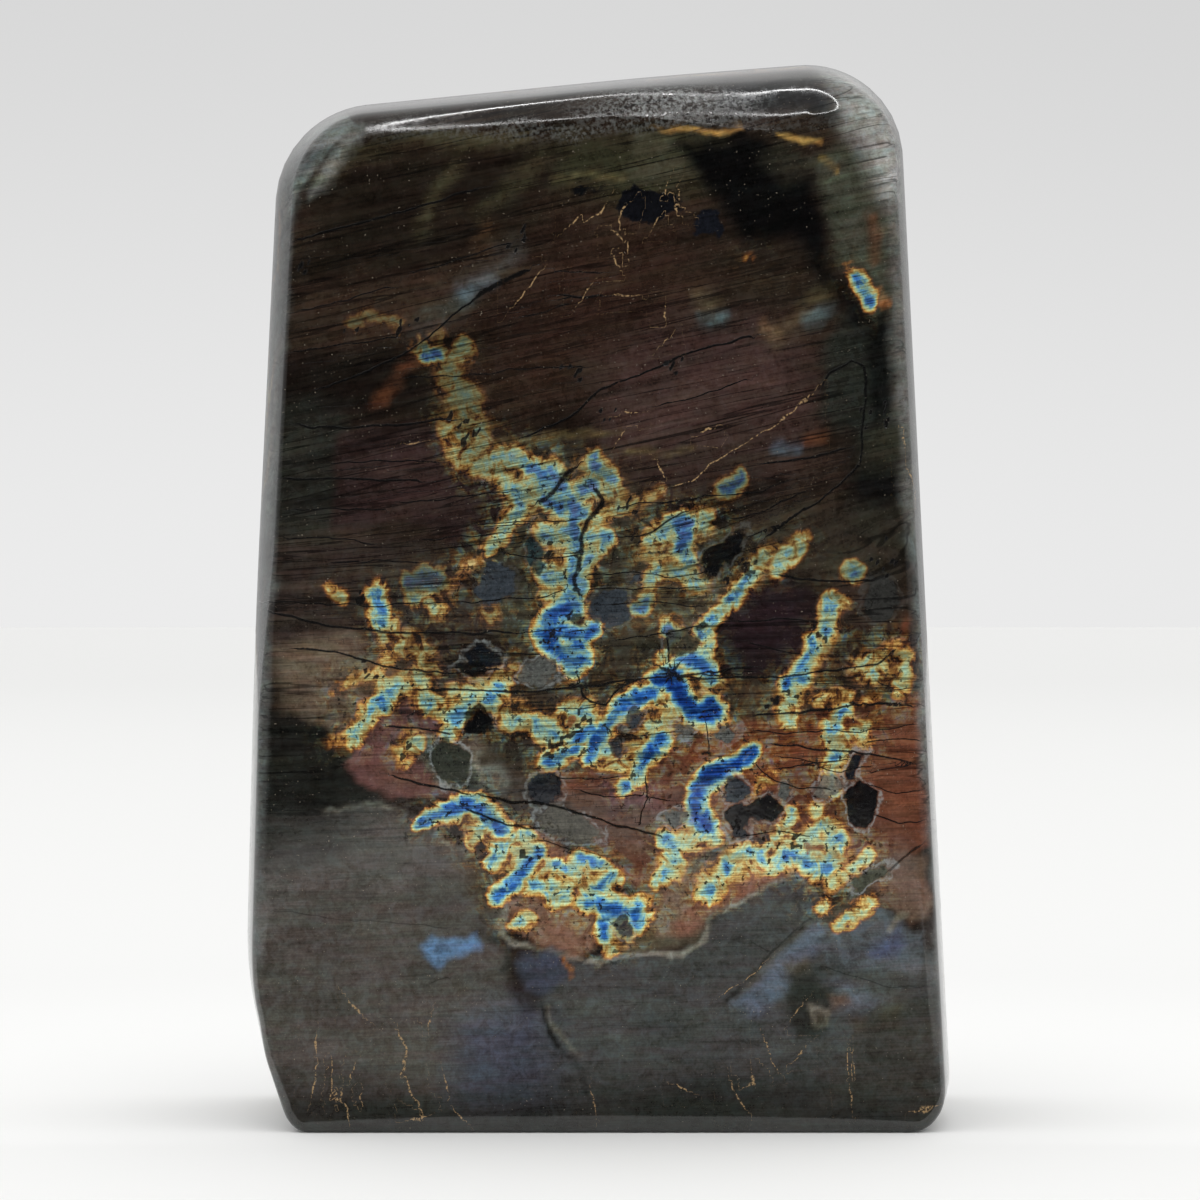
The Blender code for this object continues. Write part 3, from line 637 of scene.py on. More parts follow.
    (0.6, 0.9, ((32.3, 73, 0.8), (31, 71, 0.8), (30, 70, 0.9), (31.3, 68.5, 1.1), (31.3, 67.3, 0.7))),
    (0.65, 0.85, ((37.5, 83.5, 1.3), (38, 86, 0.9), (39, 88.5, 0.7))),
    (0.65, 0.5, ((41.8, 93, 1.3), (42, 93.6, 1.0))),
    (0.55, 0.8, ((45.7, 76, 1.3), (46, 76.6, 1.0))),
    (0.38, 0.8, ((44, 78, 0.8), (47, 78.5, 0.8))),
    (0.42, 0.8, ((48.5, 75.5, 0.8), (49.5, 74, 0.7))),
    (0.36, 0.9, ((50.8, 78.5, 0.7), (51, 75, 0.8), (50, 72.5, 0.7))),
    (0.22, 0.9, ((50.5, 80.5, 1.3), (48.3, 80, 1.0))),
    (0.3, 0.8, ((33, 72.3, 0.9), (35, 72.7, 0.8))),
    (0.3, 0.8, ((36, 72, 1.0), (38.5, 72.2, 0.9))),
    (0.3, 0.8, ((40.5, 73, 1.0), (42, 72.8, 0.9))),
    (0.3, 0.8, ((43.8, 71.5, 0.9), (45.5, 71.4, 0.8))),
    (0.3, 0.9, ((26, 58, 1.2), (28.7, 58.8, 1.4))),
    (0.35, 0.9, ((36.3, 55, 0.6), (36.7, 52.5, 0.7), (35.5, 50.5, 0.6))),
    (0.5, 0.85, ((36.5, 37.8, 1.3), (36.9, 38.2, 1.0))),
    (0.42, 0.9, ((45, 38.2, 0.7), (43, 37, 1.0), (41, 36, 1.0), (39.3, 34.8, 0.8))),
    (0.42, 0.9, ((38.3, 41.5, 0.9), (40.5, 42.2, 1.1), (43, 44, 0.9), (44.5, 45.8, 0.6))),
    (0.64, 1, ((-32.8, 74.3, 1.4), (-35, 72.8, 1.7), (-37, 71, 1.7), (-38.5, 69.5, 1.4), (-40, 67.5, 1.3),
        (-41.5, 65.5, 1.0))),
    (0.75, 1, ((-36.3, 71, 1.0), (-36, 71.5, 0.9))),
    (0.22, 0.8, ((-42, 66, 1.0), (-44.7, 65.1, 0.8))),
    (0.62, 0.95, ((-29.5, 72.5, 1.1), (-28, 71.2, 1.3))),
    (0.36, 0.95, ((-31.5, 73.3, 0.9), (-29.5, 70.7, 0.9), (-26.3, 69.3, 0.9))),
    (0.6, 1, ((-25.4, 66.3, 1.0), (-24.7, 68, 1.2), (-24, 69.7, 1.2), (-22.5, 71, 1.1), (-20.8, 72, 1.0))),
    (0.68, 0.95, ((-37.5, 89.5, 1.4), (-36.9, 87, 1.6), (-36.2, 85, 1.0))),
    (0.4, 0.7, ((-28, 88, 1.2), (-26.5, 87, 1.1))),
    (0.6, 0.5, ((-30.5, 88.8, 0.9), (-30.2, 88.6, 0.8))),
    (0.8, 0.22, ((-31, 91.5, 1.2), (-28, 92, 1.4), (-26.3, 91.3, 1.1))),
    (0.34, 0.8, ((-44.7, 89.9, 0.5), (-43, 89, 0.5))),
    (0.3, 0.85, ((-34, 84.5, 1.0), (-34.5, 82, 1.2), (-35, 79, 1.1))),
    (0.4, 0.6, ((-32, 82, 1.5), (-30.5, 80, 1.5))),
    (0.28, 0.8, ((-42.5, 74.7, 0.8), (-43, 72.8, 0.7))),
    (0.22, 0.7, ((-41, 75.2, 1.0), (-39, 74, 1.0))),
    (0.24, 0.8, ((-36, 77.5, 1.1), (-38, 76, 1.1))),
    (0.45, 0.6, ((-30, 75.5, 1.2), (-31.5, 75, 1.0))),
    (0.2, 0.8, ((-26, 89.5, 0.9), (-23, 92.5, 1.2), (-21, 95, 1.1))),
    (0.30, 0.4, ((-18.5, 86, 1.4), (-17.5, 84.5, 1.3))),
    (0.5, 0.7, ((-31, 65.5, 1.1), (-30.5, 63.5, 1.0))),
    (0.28, 0.85, ((-33.5, 63, 0.9), (-32, 61.3, 1.0), (-30.5, 62, 0.7))),
    (0.85, 1, ((-30, 51.8, 0.8), (-28, 52.3, 1.3), (-25.5, 53, 1.4), (-23, 54.4, 1.4), (-21, 54.2, 1.6),
        (-19, 53, 1.4), (-17.5, 51.8, 1.3), (-16, 50.5, 1.0))),
    (0.6, 0.9, ((-18, 51.5, 1.0), (-19.5, 49.8, 1.0), (-20.8, 48.3, 0.8))),
    (0.6, 0.95, ((-18, 45, 1.0), (-16, 47, 1.2), (-13.7, 49, 1.1), (-12, 49.7, 0.8))),
    (0.8, 1, ((-16.7, 39.2, 1.3), (-14.5, 41.5, 1.4), (-13, 43.2, 1.3), (-11.5, 45, 1.2),
        (-10.4, 46.4, 0.9))),
    (0.66, 0.95, ((-11.5, 40.7, 1.0), (-9.5, 40, 1.2), (-7.5, 39.2, 1.3), (-5.5, 39.6, 1.0))),
    (0.72, 0.95, ((-7, 44.2, 1.0), (-5.3, 43.2, 1.2), (-4, 44.5, 1.3), (-2.5, 45.3, 1.3), (-1, 44.3, 1.2),
        (0.6, 44, 0.9))),
    (0.72, 1, ((-2.3, 38.6, 1.3), (-1, 40, 1.6), (0.6, 41, 1.3), (2.7, 42.4, 1.0))),
    (0.8, 1, ((-1.5, 38, 1.6), (0.5, 37, 1.9), (3, 36.8, 1.9), (5.5, 37.2, 1.9), (7, 36.7, 1.5))),
    (0.75, 1, ((6.8, 38.5, 1.2), (6.4, 35.3, 1.3))),
    (0.8, 1, ((0.9, 34.2, 1.3), (1, 33, 1.2))),
    (0.45, 0.8, ((1.8, 31.5, 1.3), (2, 31.2, 1.1))),
    (0.55, 0.85, ((-13.3, 34.8, 1.3), (-13, 34.4, 1.2))),
    (0.38, 0.7, ((-11.7, 35.3, 0.8), (-11.2, 35.4, 0.7))),
    (0.26, 0.8, ((41.3, 143.2, 0.6), (41.8, 142.8, 0.8))),
    (0.75, 0.95, ((42.4, 142, 0.9), (43.2, 140.7, 1.3), (44, 139, 1.3), (44.6, 137.2, 0.8))),
    (0.2, 0.8, ((25.8, 145.5, 0.5), (26, 145.6, 0.4))),
    (0.8, 0.75, ((-28.4, 129, 1.0), (-27, 129.4, 0.8))),
    (0.55, 0.5, ((-29.5, 130.8, 1.0), (-29.2, 130.6, 0.9))),
    (0.6, 0.5, ((-23, 129.5, 1.1), (-22, 130.6, 1.0))),
    (0.25, 0.3, ((-27, 132.5, 1.3), (-25, 131, 1.2))),
    (0.3, 0.25, ((-41, 134.3, 0.8), (-38, 135.8, 1.0), (-35, 135, 1.0), (-33, 133.5, 0.8))),
    (0.40, 0.34, ((-25, 128, 2.0), (-24, 124, 3.2), (-22, 121, 3.6), (-21.5, 117, 3.2), (-20.5, 113, 2.6),
        (-18.5, 111, 2.0))),
    (0.3, 0.7, ((-25.3, 117.5, 0.9), (-24.5, 114, 1.0), (-22.5, 111, 1.0), (-19.5, 108.8, 0.9),
        (-17, 108, 0.9), (-15.5, 106.5, 0.8), (-15, 103.5, 0.7))),
)

# Islands of dull mineral: x, z, half the width and height, the turn in degrees, the tone, and how
# pale the line around them is.
JET, INK, SLATE, GREY, OLIVE = (13, 14, 16), (20, 25, 32), (50, 56, 62), (78, 80, 77), (58, 57, 47)
GRAINS = (
    (1.5, 87.5, 3.6, 2.8, -20, SLATE, 0.2), (-17.5, 91, 3, 3.5, 0, SLATE, 0.1),
    (-10.5, 95.5, 1.4, 3, 0, (34, 48, 50), 0.2), (5.8, 92, 1.2, 1, 0, SLATE, 0.2),
    (20.7, 96, 5.5, 1.7, 50, JET, 0.2), (16.5, 84.5, 1.2, 0.8, 0, JET, 0.2),
    (13.5, 81.5, 2.6, 2.2, 0, OLIVE, 0.3), (-19.5, 78.8, 3.2, 1.6, -5, INK, 0.7),
    (-21.5, 76.5, 2.2, 1.2, 0, JET, 0.4), (-9.8, 76.3, 3, 2.3, 0, GREY, 0.7),
    (-20.3, 68.5, 2.4, 2.2, 0, JET, 0.3), (-24.6, 61.6, 3.2, 4.2, 28, (44, 47, 40), 0.9),
    (5.5, 69, 2.1, 1.5, 25, SLATE, 0.4), (3.3, 64, 1.8, 1.2, 0, SLATE, 0.3),
    (14.3, 66.8, 1.8, 1.3, 0, GREY, 0.8), (17.8, 62.5, 0.9, 0.5, 0, JET, 0.2),
    (21, 66.3, 2, 1.5, 0, GREY, 0.4), (-8.8, 57, 2.8, 3, 0, INK, 0.5),
    (-5, 51, 5.5, 2.6, -15, (72, 70, 62), 0.7), (12.3, 51.8, 1.6, 1.3, 0, GREY, 0.7),
    (22.5, 57.3, 2.3, 2, 0, SLATE, 0.7), (23.5, 52.5, 2.5, 2.6, 0, JET, 0.6),
    (27.3, 53.5, 3.2, 2.3, 0, JET, 0.6), (22.5, 50, 1.8, 1.5, 0, INK, 0.8),
    (42.2, 60.3, 2.9, 1.4, 65, INK, 0.9), (43.3, 54.2, 2.8, 3.7, 10, JET, 1),
    (37.5, 57, 2.3, 1.8, 0, (104, 100, 92), 0.8), (31, 57, 1.4, 1.4, 0, GREY, 0.4),
    (44.8, 42.6, 3.6, 1.4, 32, (66, 68, 56), 0.8), (47, 88, 3, 3.5, 0, (44, 44, 42), 0.1),
    (3.8, 34, 1.8, 1.6, 0, SLATE, 0.4), (-3.5, 85.3, 1.3, 1, 0, INK, 0.1),
    (-5.5, 109, 1.8, 1.2, 45, (24, 19, 14), 0.1), (8, 154, 6, 3.2, 0, (14, 15, 19), 0),
    (18, 151, 3, 2.5, 0, (19, 21, 27), 0), (-3, 156.7, 3, 0.7, 0, JET, 0),
    (-5, 68.9, 1.3, 0.9, 0, (120, 66, 32), 0), (36, 47, 1.3, 1.1, 0, (116, 66, 36), 0),
)

# Groups of black pits: x, z and about how far they scatter.
PIT_GROUPS = (
    (-24, 119, 1.6), (-22, 117, 1.4), (-21.5, 114.3, 1.2), (-40, 134.5, 1.4), (-33, 133.7, 1.2),
    (-49, 144, 0.7), (-38.5, 76.5, 1.0), (-39.3, 88.5, 1.0), (-8, 82.5, 0.8), (-5.5, 85.3, 0.9),
    (-2, 68.5, 0.7), (-4, 66.5, 0.8), (-6.5, 65, 0.9), (-8, 63.3, 0.8), (31, 73, 1.2), (29, 71.5, 0.9),
    (36, 82, 1.0), (25, 93.5, 1.2), (-32, 63.8, 1.0), (46.8, 94.5, 1.6), (-8.5, 96.5, 0.8),
    (11, 127, 1.2), (1.5, 118.5, 1.0), (-14, 148, 1.2), (33, 48.5, 0.9), (20, 92, 1.0), (5, 104.5, 0.9),
    (-4, 126, 0.8), (46, 119, 1.4), (-12, 46, 0.8),
)
PITS_IN_GROUP = 9

# Cracks, as the points they run through, from the widest to the finest.
WIDE_CRACKS = (
    ((-9.8, 104.8), (-8.3, 105.8), (-7, 107), (-5.5, 109), (-4.3, 110.3)),
    ((-0.5, 106.5), (0.8, 104.5), (-0.5, 103), (-2, 101), (-2.8, 99), (-2.6, 97), (-3.5, 94),
     (-4.3, 91.7), (-3.5, 89.8)),
    ((-20, 139), (-16, 141.4), (-12.5, 143)),
    ((10.5, 77), (12.3, 76.2), (13.5, 75.2)),
)
BOLD_CRACKS = (
    ((-49.8, 148.3), (-40, 151), (-31, 153.4), (-20.2, 156.8)),
    ((-46, 123.5), (-39, 126.3), (-35, 128), (-31, 130.2), (-28, 132.5), (-25, 135), (-20, 139)),
    ((-50, 117.3), (-45, 116.8), (-40, 117), (-33, 117.5), (-25, 118.3)),
    ((-52, 108.5), (-42, 108.2), (-30, 108)),
    ((-12, 115.5), (-8, 117), (-5, 118.5), (-3, 120.5), (0, 123), (4, 124.8), (10, 127), (13, 128.5),
     (18, 130.3), (25, 132)),
    ((7, 99), (9, 100), (12, 102), (14, 103)),
    ((-6, 138.8), (0, 138.8)),
    ((28, 111), (32, 111.3), (36, 112), (40, 113.5)),
    ((28, 99), (32, 102), (36, 104.5), (39, 106.5), (41, 108.5), (43, 110.5), (43.8, 113), (43.5, 117),
     (44, 121), (44.3, 125), (44, 127.5), (42, 127.8), (38, 126), (37, 124)),
    ((-55, 86.5), (-50, 85.2), (-45, 84.2), (-40, 83.5), (-35, 83), (-25, 82.9), (-15, 83)),
    ((-50, 80.2), (-44, 79.8), (-40, 78.5), (-36, 77.5), (-31, 76.7), (-25, 76), (-17, 76.8)),
    ((-30, 73.5), (-20, 73.3), (-10, 73.2), (0, 74.3), (5, 75), (10, 75.5), (17, 76.3), (25, 77)),
    ((15, 75.2), (22, 75.6), (30, 75.6), (37, 76.5), (42, 77), (46, 77.5), (49, 80)),
    ((-35, 67.5), (-30, 67), (-25, 66)),
    ((-34, 59), (-30, 58), (-25, 56.6), (-22, 56)),
    ((-22, 53.5), (-17, 51.5), (-10, 50.5)),
    ((-20, 56), (-15, 55), (-10, 54.6), (-6, 53.7), (-2, 52.5), (2, 51.2), (6, 50), (10, 49)),
    ((11, 82.5), (11.3, 80), (12.3, 76.3)),
    ((10.5, 77), (12, 76), (13.5, 75.2)),
    ((13.3, 77.8), (12, 76.3), (11, 75)),
    ((-3.5, 75.5), (-2.5, 72.5), (-1.5, 71.5), (1, 71), (3, 73.5), (6, 75)),
    ((26, 69.2), (34, 69.8), (40, 70.5), (46, 71.2), (51.5, 70.6)),
    ((29, 64.3), (37, 63.5), (42, 63), (46, 62.6), (51.5, 61.3)),
    ((30, 92.3), (38, 91.2), (45, 91.5)),
    ((26, 27), (28.3, 29.7), (31, 32.5), (33.5, 34.5), (36.5, 36.8)),
    ((48, 43.5), (51, 45.5), (53, 47.5)),
)
FINE_CRACKS = (
    ((-49.6, 136.4), (-40, 138.9), (-35, 140.2)),
    ((-31, 142.7), (-22, 145.5), (-15, 147.6)),
    ((-50.5, 129.8), (-34.3, 131.7)),
    ((-50, 103.2), (-45, 103.5), (-36, 103.2)),
    ((-52, 98.5), (-45, 98.8), (-38, 97.8)),
    ((-29, 98.3), (-22, 98.9), (-15, 99.5)),
    ((-33, 104.5), (-15, 106.2)),
    ((-31, 125.4), (-20, 125.6), (-15, 126.6), (-3, 127.3)),
    ((-20, 101), (-10, 101.3), (-3, 101.6)),
    ((-20, 98.8), (-12, 99.5)),
    ((3, 103.5), (8, 104.5), (14, 105), (25, 106), (31, 108)),
    ((3, 98.7), (8, 98.8)),
    ((-12, 135.5), (-3, 138)),
    ((-7, 143), (0, 142.7)),
    ((25, 99), (30, 101), (34, 103.5)),
    ((-55, 88), (-37, 87.5), (-25, 87.8), (-15, 88.4)),
    ((-15, 70), (-5, 70.4), (0, 70.5)),
    ((-20, 82.8), (-8, 83.2), (-3, 83)),
    ((-20, 79.6), (-10, 79.4)),
    ((-20, 88.2), (-10, 88.6), (-5, 90), (5, 90.2), (16, 90.4)),
    ((3, 81.8), (10, 82.5), (17, 84)),
    ((17.8, 68), (18, 63.5)),
    ((41, 71.3), (50, 71.1)),
    ((26, 61), (29, 58.5), (33, 57.3), (38, 56.8)),
    ((45, 59.5), (51.5, 61)),
    ((20, 84.6), (30, 85.2), (36, 84.8)),
    ((25, 81), (33, 79.3)),
    ((-10, 48.5), (-5, 47), (0, 46.2)),
    ((25.5, 31.2), (28.3, 29.8)),
    ((37, 27.5), (42, 26), (48, 24.2), (54, 24.2)),
    ((7.5, 59), (8, 55.5), (7, 53), (6.8, 51)),
    ((-28, 24.8), (-25, 25.8)),
    ((-54, 36.8), (-44, 35.6), (-34, 34.8), (-25, 34.2)),
    ((26, 66.6), (31, 66), (37, 66.8), (43, 66.4), (52, 67.6)),
    ((30, 62.2), (36, 61.4), (41, 61.8)),
    ((30, 60.4), (35, 60.9), (40, 59.8), (45, 60.6)),
    ((45, 57.4), (49, 56.4), (53, 56.8)),
    ((24, 49.4), (29, 49.9), (35, 49.2)),
    ((46, 52.4), (50, 51.2), (53.5, 51.6)),
    ((44.5, 64.6), (48, 65.4), (53, 64.9)),
    ((46.5, 74.6), (49, 73.4), (52, 73.8)),
    ((-3, 56.6), (1, 55.6), (6, 56.2), (11, 55.2)),
    ((-7, 59), (-2, 58.4), (3, 58.9)),
    ((3, 66.4), (7, 65.8), (12, 66.3)),
    ((-44, 94.4), (-37, 94.9), (-30, 94.3)),
    ((-45, 110.9), (-38, 111.5), (-27, 111.3)),
    ((-2, 92.4), (4, 92.9), (11, 92.2), (18, 92.8)),
    ((-15, 95.8), (-9, 95.3), (-3, 95.9)),
    ((2, 87.4), (9, 87.9), (17, 87.1)),
    ((22, 101.6), (28, 103.4), (34, 106.3)),
    ((10, 120.6), (17, 122.4), (24, 124.9)),
)

# Tan mineral caught in the surface, as the points it runs through and half its width.
FLECKS = (
    (0.16, ((10.5, 106.5), (13, 107.5), (15.5, 108.2), (17, 109.3), (18.5, 110.8), (22.5, 113.2),
        (27, 116), (30, 118), (33, 120.5), (35, 122.5))),
    (0.5, ((30.5, 118.6), (30.9, 118.8))), (0.45, ((33.9, 121.4), (34.2, 121.7))),
    (0.3, ((-32.8, 16), (-32, 14), (-32, 12), (-32.6, 10))),
    (0.2, ((-32, 9), (-31.3, 6.5), (-30, 5), (-29.6, 2.5))),
    (0.4, ((-31, 2.5), (-29.5, 2.8))), (0.2, ((-47, 16), (-47, 14.3))),
    (0.22, ((-47, 11), (-47.3, 8), (-47.6, 6.3))), (0.18, ((-44.5, 11.5), (-44.3, 6))),
    (0.2, ((-43.3, 7), (-43.5, 5.5))), (0.2, ((-42.5, 6.8), (-42.7, 5.5))),
    (0.2, ((-41.8, 4.7), (-41.4, 3))), (0.18, ((-40.5, 11), (-41, 9.5))),
    (0.18, ((-39.5, 6.5), (-39.6, 5))), (0.35, ((-40.8, 21.5), (-39.8, 20.5))),
    (0.18, ((-28, 19), (-28.2, 18))), (0.2, ((-25.5, 9), (-25, 6.5))),
    (0.2, ((-23.5, 3.5), (-22.5, 2.3))), (0.2, ((-1, 6.5), (-0.7, 4.3))),
    (0.25, ((27.8, 14.8), (28.2, 13.5))), (0.2, ((28.5, 12), (29.3, 10.7))),
    (0.35, ((25.3, 9.3), (25.5, 8), (24.5, 7.5))), (0.2, ((13.2, 7.7), (14.2, 7.3))),
    (0.4, ((33.4, 13.1), (33.6, 13.3))), (0.2, ((22, 8), (23, 5.5), (24, 4))),
    (0.15, ((41, 13), (41, 10))), (0.15, ((42, 13), (42, 10.2))), (0.2, ((41.5, 7), (41.8, 4.8))),
    (0.15, ((32, 19), (33.5, 21))), (0.9, ((53.6, 3.9), (54.4, 4.1))),
    (0.25, ((3.2, 151), (3.3, 153), (4.3, 154))), (0.22, ((2.5, 149.5), (3.2, 148.5))),
    (0.2, ((4.5, 147.5), (4.8, 145))), (0.3, ((13, 153.5), (12.5, 154.8), (13.5, 154))),
    (0.2, ((10.5, 156), (11.2, 157.5))), (0.2, ((13.2, 156), (13.4, 155))),
    (0.2, ((9, 150.5), (9.8, 152))), (0.18, ((1, 154.5), (0, 153), (-2, 151.5))),
    (0.2, ((-3.5, 152), (-4.8, 150.7))), (0.2, ((2.5, 145), (3, 144))),
    (0.16, ((-10, 142.5), (-12.5, 139.5), (-14, 137.5))), (0.16, ((-1.5, 140.5), (-3.3, 138))),
    (0.18, ((2.5, 139), (5, 138.7))), (0.2, ((10.9, 136.5), (11, 135))), (0.2, ((3.8, 115.7), (2.8, 114))),
    (0.2, ((4.5, 119.3), (5.5, 119.5))), (0.2, ((9.8, 110.3), (10.5, 109.2))),
    (0.3, ((17.8, 116.4), (18.2, 116.6))), (0.25, ((10.9, 131.4), (11.1, 131.6))),
    (0.2, ((-32, 114.2), (-30.5, 114.5))), (0.12, ((20.5, 23), (24, 25.5), (27, 28))),
    (0.3, ((50.3, 116), (50.6, 114.5))), (0.3, ((51.5, 109), (51.9, 107.6))),
    (0.25, ((52.5, 106), (52.5, 105))),
)
# Half the width of the cracks of each kind, and how much of their typed width the flecks keep.
WIDE_WIDTH, BOLD_WIDTH, FINE_WIDTH = 0.36, 0.17, 0.10
FLECK_THIN = 0.7
# How far a vein's colours spread past its half width: a share of that width, and so many mm more.
HALO, GLOW = 1.1, 1.6
VEIN_EDGE = 0.05
VEIN_REACH = 7.0
# How far round a vein the ground still shows mottling, and how much of it shows outside the lively part.
CLOSE_REACH = 5.5
CALM_SHARE = 0.12
# Veins that start low down or at the left show paler: how much lower their peak is, which peaks, and where.
PALER_BY = 0.05
PALER_PEAKS = (0.5, 0.85)
PALER_BELOW = 50.5
PALER_LEFT_OF = -12
PALER_LEFT_HEIGHTS = (55, 78)
# Where the veins grow fainter, from one height to another, and by how much.
FAINTER_HEIGHTS, FAINTER_BY = (78.0, 100.0), 0.22
FAINT_TOP_HEIGHTS, FAINT_TOP_SIDES, FAINT_TOP_BY = (110.0, 122.0), (20.0, 0.0), 0.3
# How the layers rise to the right, and between which heights they start to.
LAYER_SLOPE = 12.0
LAYER_HEIGHTS = (86.0, 106.0)
# How the drawn things wander: how far in mm, the size of the bends, and the seed.
DRAWN_WARPS = ((1.2, 6.0, 1), (0.65, 2.6, 31), (0.2, 1.1, 37))
CRACK_WARP = (0.45, 3.0, 91)
FLECK_WARP = (0.4, 1.2, 95)
GRAIN_WARPS = ((1.5, 4.0, 51), (0.8, 1.5, 55))
FROST_WARP = (1.6, 4.0, 61)
# Sugary polish: an ellipse on the rounding and one below it, as x, z, half width, half height and turn.
FROST_PATCH, FROST_STRIP = (11, 171.2, 15, 3.6, 3), (2, 167.2, 30, 1.3, 2)
STRIP_FROST = 0.5
PIT_SIZES = (0.2, 0.55)
PIT_SEED = 71
# Soft lines are broken up by streaks of this size.
BREAK_SIZE, BREAK_SEED = 1.8, 77


def linear(tone):
    """A tone out of 255 as linear light."""
    share = np.array(tone, float) / 255
    return np.where(share <= 0.04045, share / 12.92, ((share + 0.055) / 1.055) ** 2.4)


def streaks(points, size, seed):
    """Rough noise drawn out four times along the layers, which rise to the right high up."""
    rise = np.tan(np.radians(LAYER_SLOPE)) * smooth(*LAYER_HEIGHTS, points[:, 1])
    levelled = np.stack([points[:, 0] * 0.25, points[:, 1] - points[:, 0] * rise], axis=1)
    return rough_noise(levelled, size, seed)


def near_line(points, line, reach):
    """Which points lie within reach of a line's box, so that the rest can be left out."""
    run = np.array(line, float)[:, :2]
    inside = (points > run.min(axis=0) - reach) & (points < run.max(axis=0) + reach)
    return np.flatnonzero(inside.all(axis=1))


def ground_and_rim_shine_field(points):
    """The ground tone at each point, with painted reflections on the rims: the zones and then the soft lines,
    each blended over the last.
    """
    colour = np.tile(linear(BASE_TONE), (len(points), 1))
    broken = 0.35 + 0.65 * smooth(0.38, 0.60, streaks(points, BREAK_SIZE, BREAK_SEED))
    for tone, blend, strength, polygon in GROUND_AND_RIM_SHINE:
        cover = smooth(-blend, blend, inside_distance(points, polygon)) * strength
        colour += (linear(tone) - colour) * cover[:, None]
    for tone, half, blend, strength, line in LINES:
        near = near_line(points, line, half + blend)
        distance = np.full(len(near), 1e9)
        for a, b in zip(line[:-1], line[1:]):
            distance = np.minimum(distance, to_segment(points[near], a, b)[1])
        cover = (1 - smooth(half - blend / 2, half + blend / 2, distance)) * strength
        colour[near] += (linear(tone) - colour[near]) * (cover * broken[near])[:, None]
    return colour


def shown_peak(peak, across, up):
    """A vein's peak as it shows where the vein starts: some of the low ones and the left ones are paler."""
    low, high = PALER_LEFT_HEIGHTS
    at_left = across < PALER_LEFT_OF and low < up < high
    paler = PALER_PEAKS[0] <= peak <= PALER_PEAKS[1] and (up < PALER_BELOW or at_left)
    return peak - PALER_BY if paler else peak


def flash_field(points):
    """How far up the flash ramp each point is, how strong it is there, and how close to a vein.

    Across a vein the ramp rises from nothing at the edge of its glow to the vein's peak at its middle.
    Where veins overlap the higher one shows, and the strengths are averaged by the ramp's cube.
    """
    phase = np.zeros(len(points))
    weight = np.full(len(points), 1e-6)
    strength = np.full(len(points), 1e-6)
    closeness = np.zeros(len(points))
    for typed, force, line in FLASH:
        peak = shown_peak(typed, *line[0][:2])
        near = near_line(points, line, VEIN_REACH)
        here = points[near]
        local = np.zeros(len(near))
        for a, b in zip(line[:-1], line[1:]):
            share, distance, _ = to_segment(here, np.array(a[:2]), np.array(b[:2]))
            half = a[2] + (b[2] - a[2]) * share
            rise = 1 - smooth(VEIN_EDGE, 1.0, distance / (half * HALO + GLOW))
            local = np.maximum(local, peak * rise)
            close = 1 - smooth(0.0, CLOSE_REACH, distance - half)
            closeness[near] = np.maximum(closeness[near], force * close)
        phase[near] = np.maximum(phase[near], local)
        pull = (local + 0.02) ** 3
        weight[near] += pull
        strength[near] += pull * force
    lively = smooth(-4, 3, inside_distance(points, LIVELY))
    across, up = points.T
    upper_left = smooth(*FAINT_TOP_HEIGHTS, up) * smooth(*FAINT_TOP_SIDES, across)
    strength *= (1 - FAINTER_BY * smooth(*FAINTER_HEIGHTS, up)) * (1 - FAINT_TOP_BY * upper_left)
    return phase, strength / weight, closeness * (CALM_SHARE + (1 - CALM_SHARE) * lively)


def grain_field(points):
    """Signed distance to the nearest grain in mm, positive inside, and that grain's tone and line."""
    distance = np.full(len(points), -9.0)
    tone = np.zeros((len(points), 4))
    for x, z, half_width, half_height, turn, colour, line in GRAINS:
        away = ellipse_distance(points, x, z, half_width, half_height, turn)
        nearer = away > distance
        distance[nearer] = away[nearer]
        tone[nearer] = (*linear(colour), line)
    return distance, tone


def line_field(points, lines):
    """Signed distance to the nearest line over half that line's width: its size is below 1 on the line."""
    value = np.full(len(points), 99.0)
    for half, line in lines:
        near = near_line(points, line, 3.0)
        for a, b in zip(line[:-1], line[1:]):
            _, distance, side = to_segment(points[near], a, b)
            candidate = distance / half * np.where(side < 0, -1.0, 1.0)
            nearer = np.abs(candidate) < np.abs(value[near])
            value[near[nearer]] = candidate[nearer]
    return value


def pit_field(points):
    """How deep in a black pit each point is, from 0 to 1. Pits scatter round their group's middle."""
    draw = np.random.default_rng(PIT_SEED)
    depth = np.zeros(len(points))
    for x, z, scatter in PIT_GROUPS:
        places = np.array((x, z)) + draw.normal(0, scatter, (PITS_IN_GROUP, 2))
        sizes = draw.uniform(*PIT_SIZES, PITS_IN_GROUP)
        near = near_line(points, places, 2.0)
        for place, size in zip(places, sizes):
            away = np.hypot(*(points[near] - place).T)
            depth[near] = np.maximum(depth[near], 1 - smooth(size * 0.5, size * 1.15, away))
    return depth


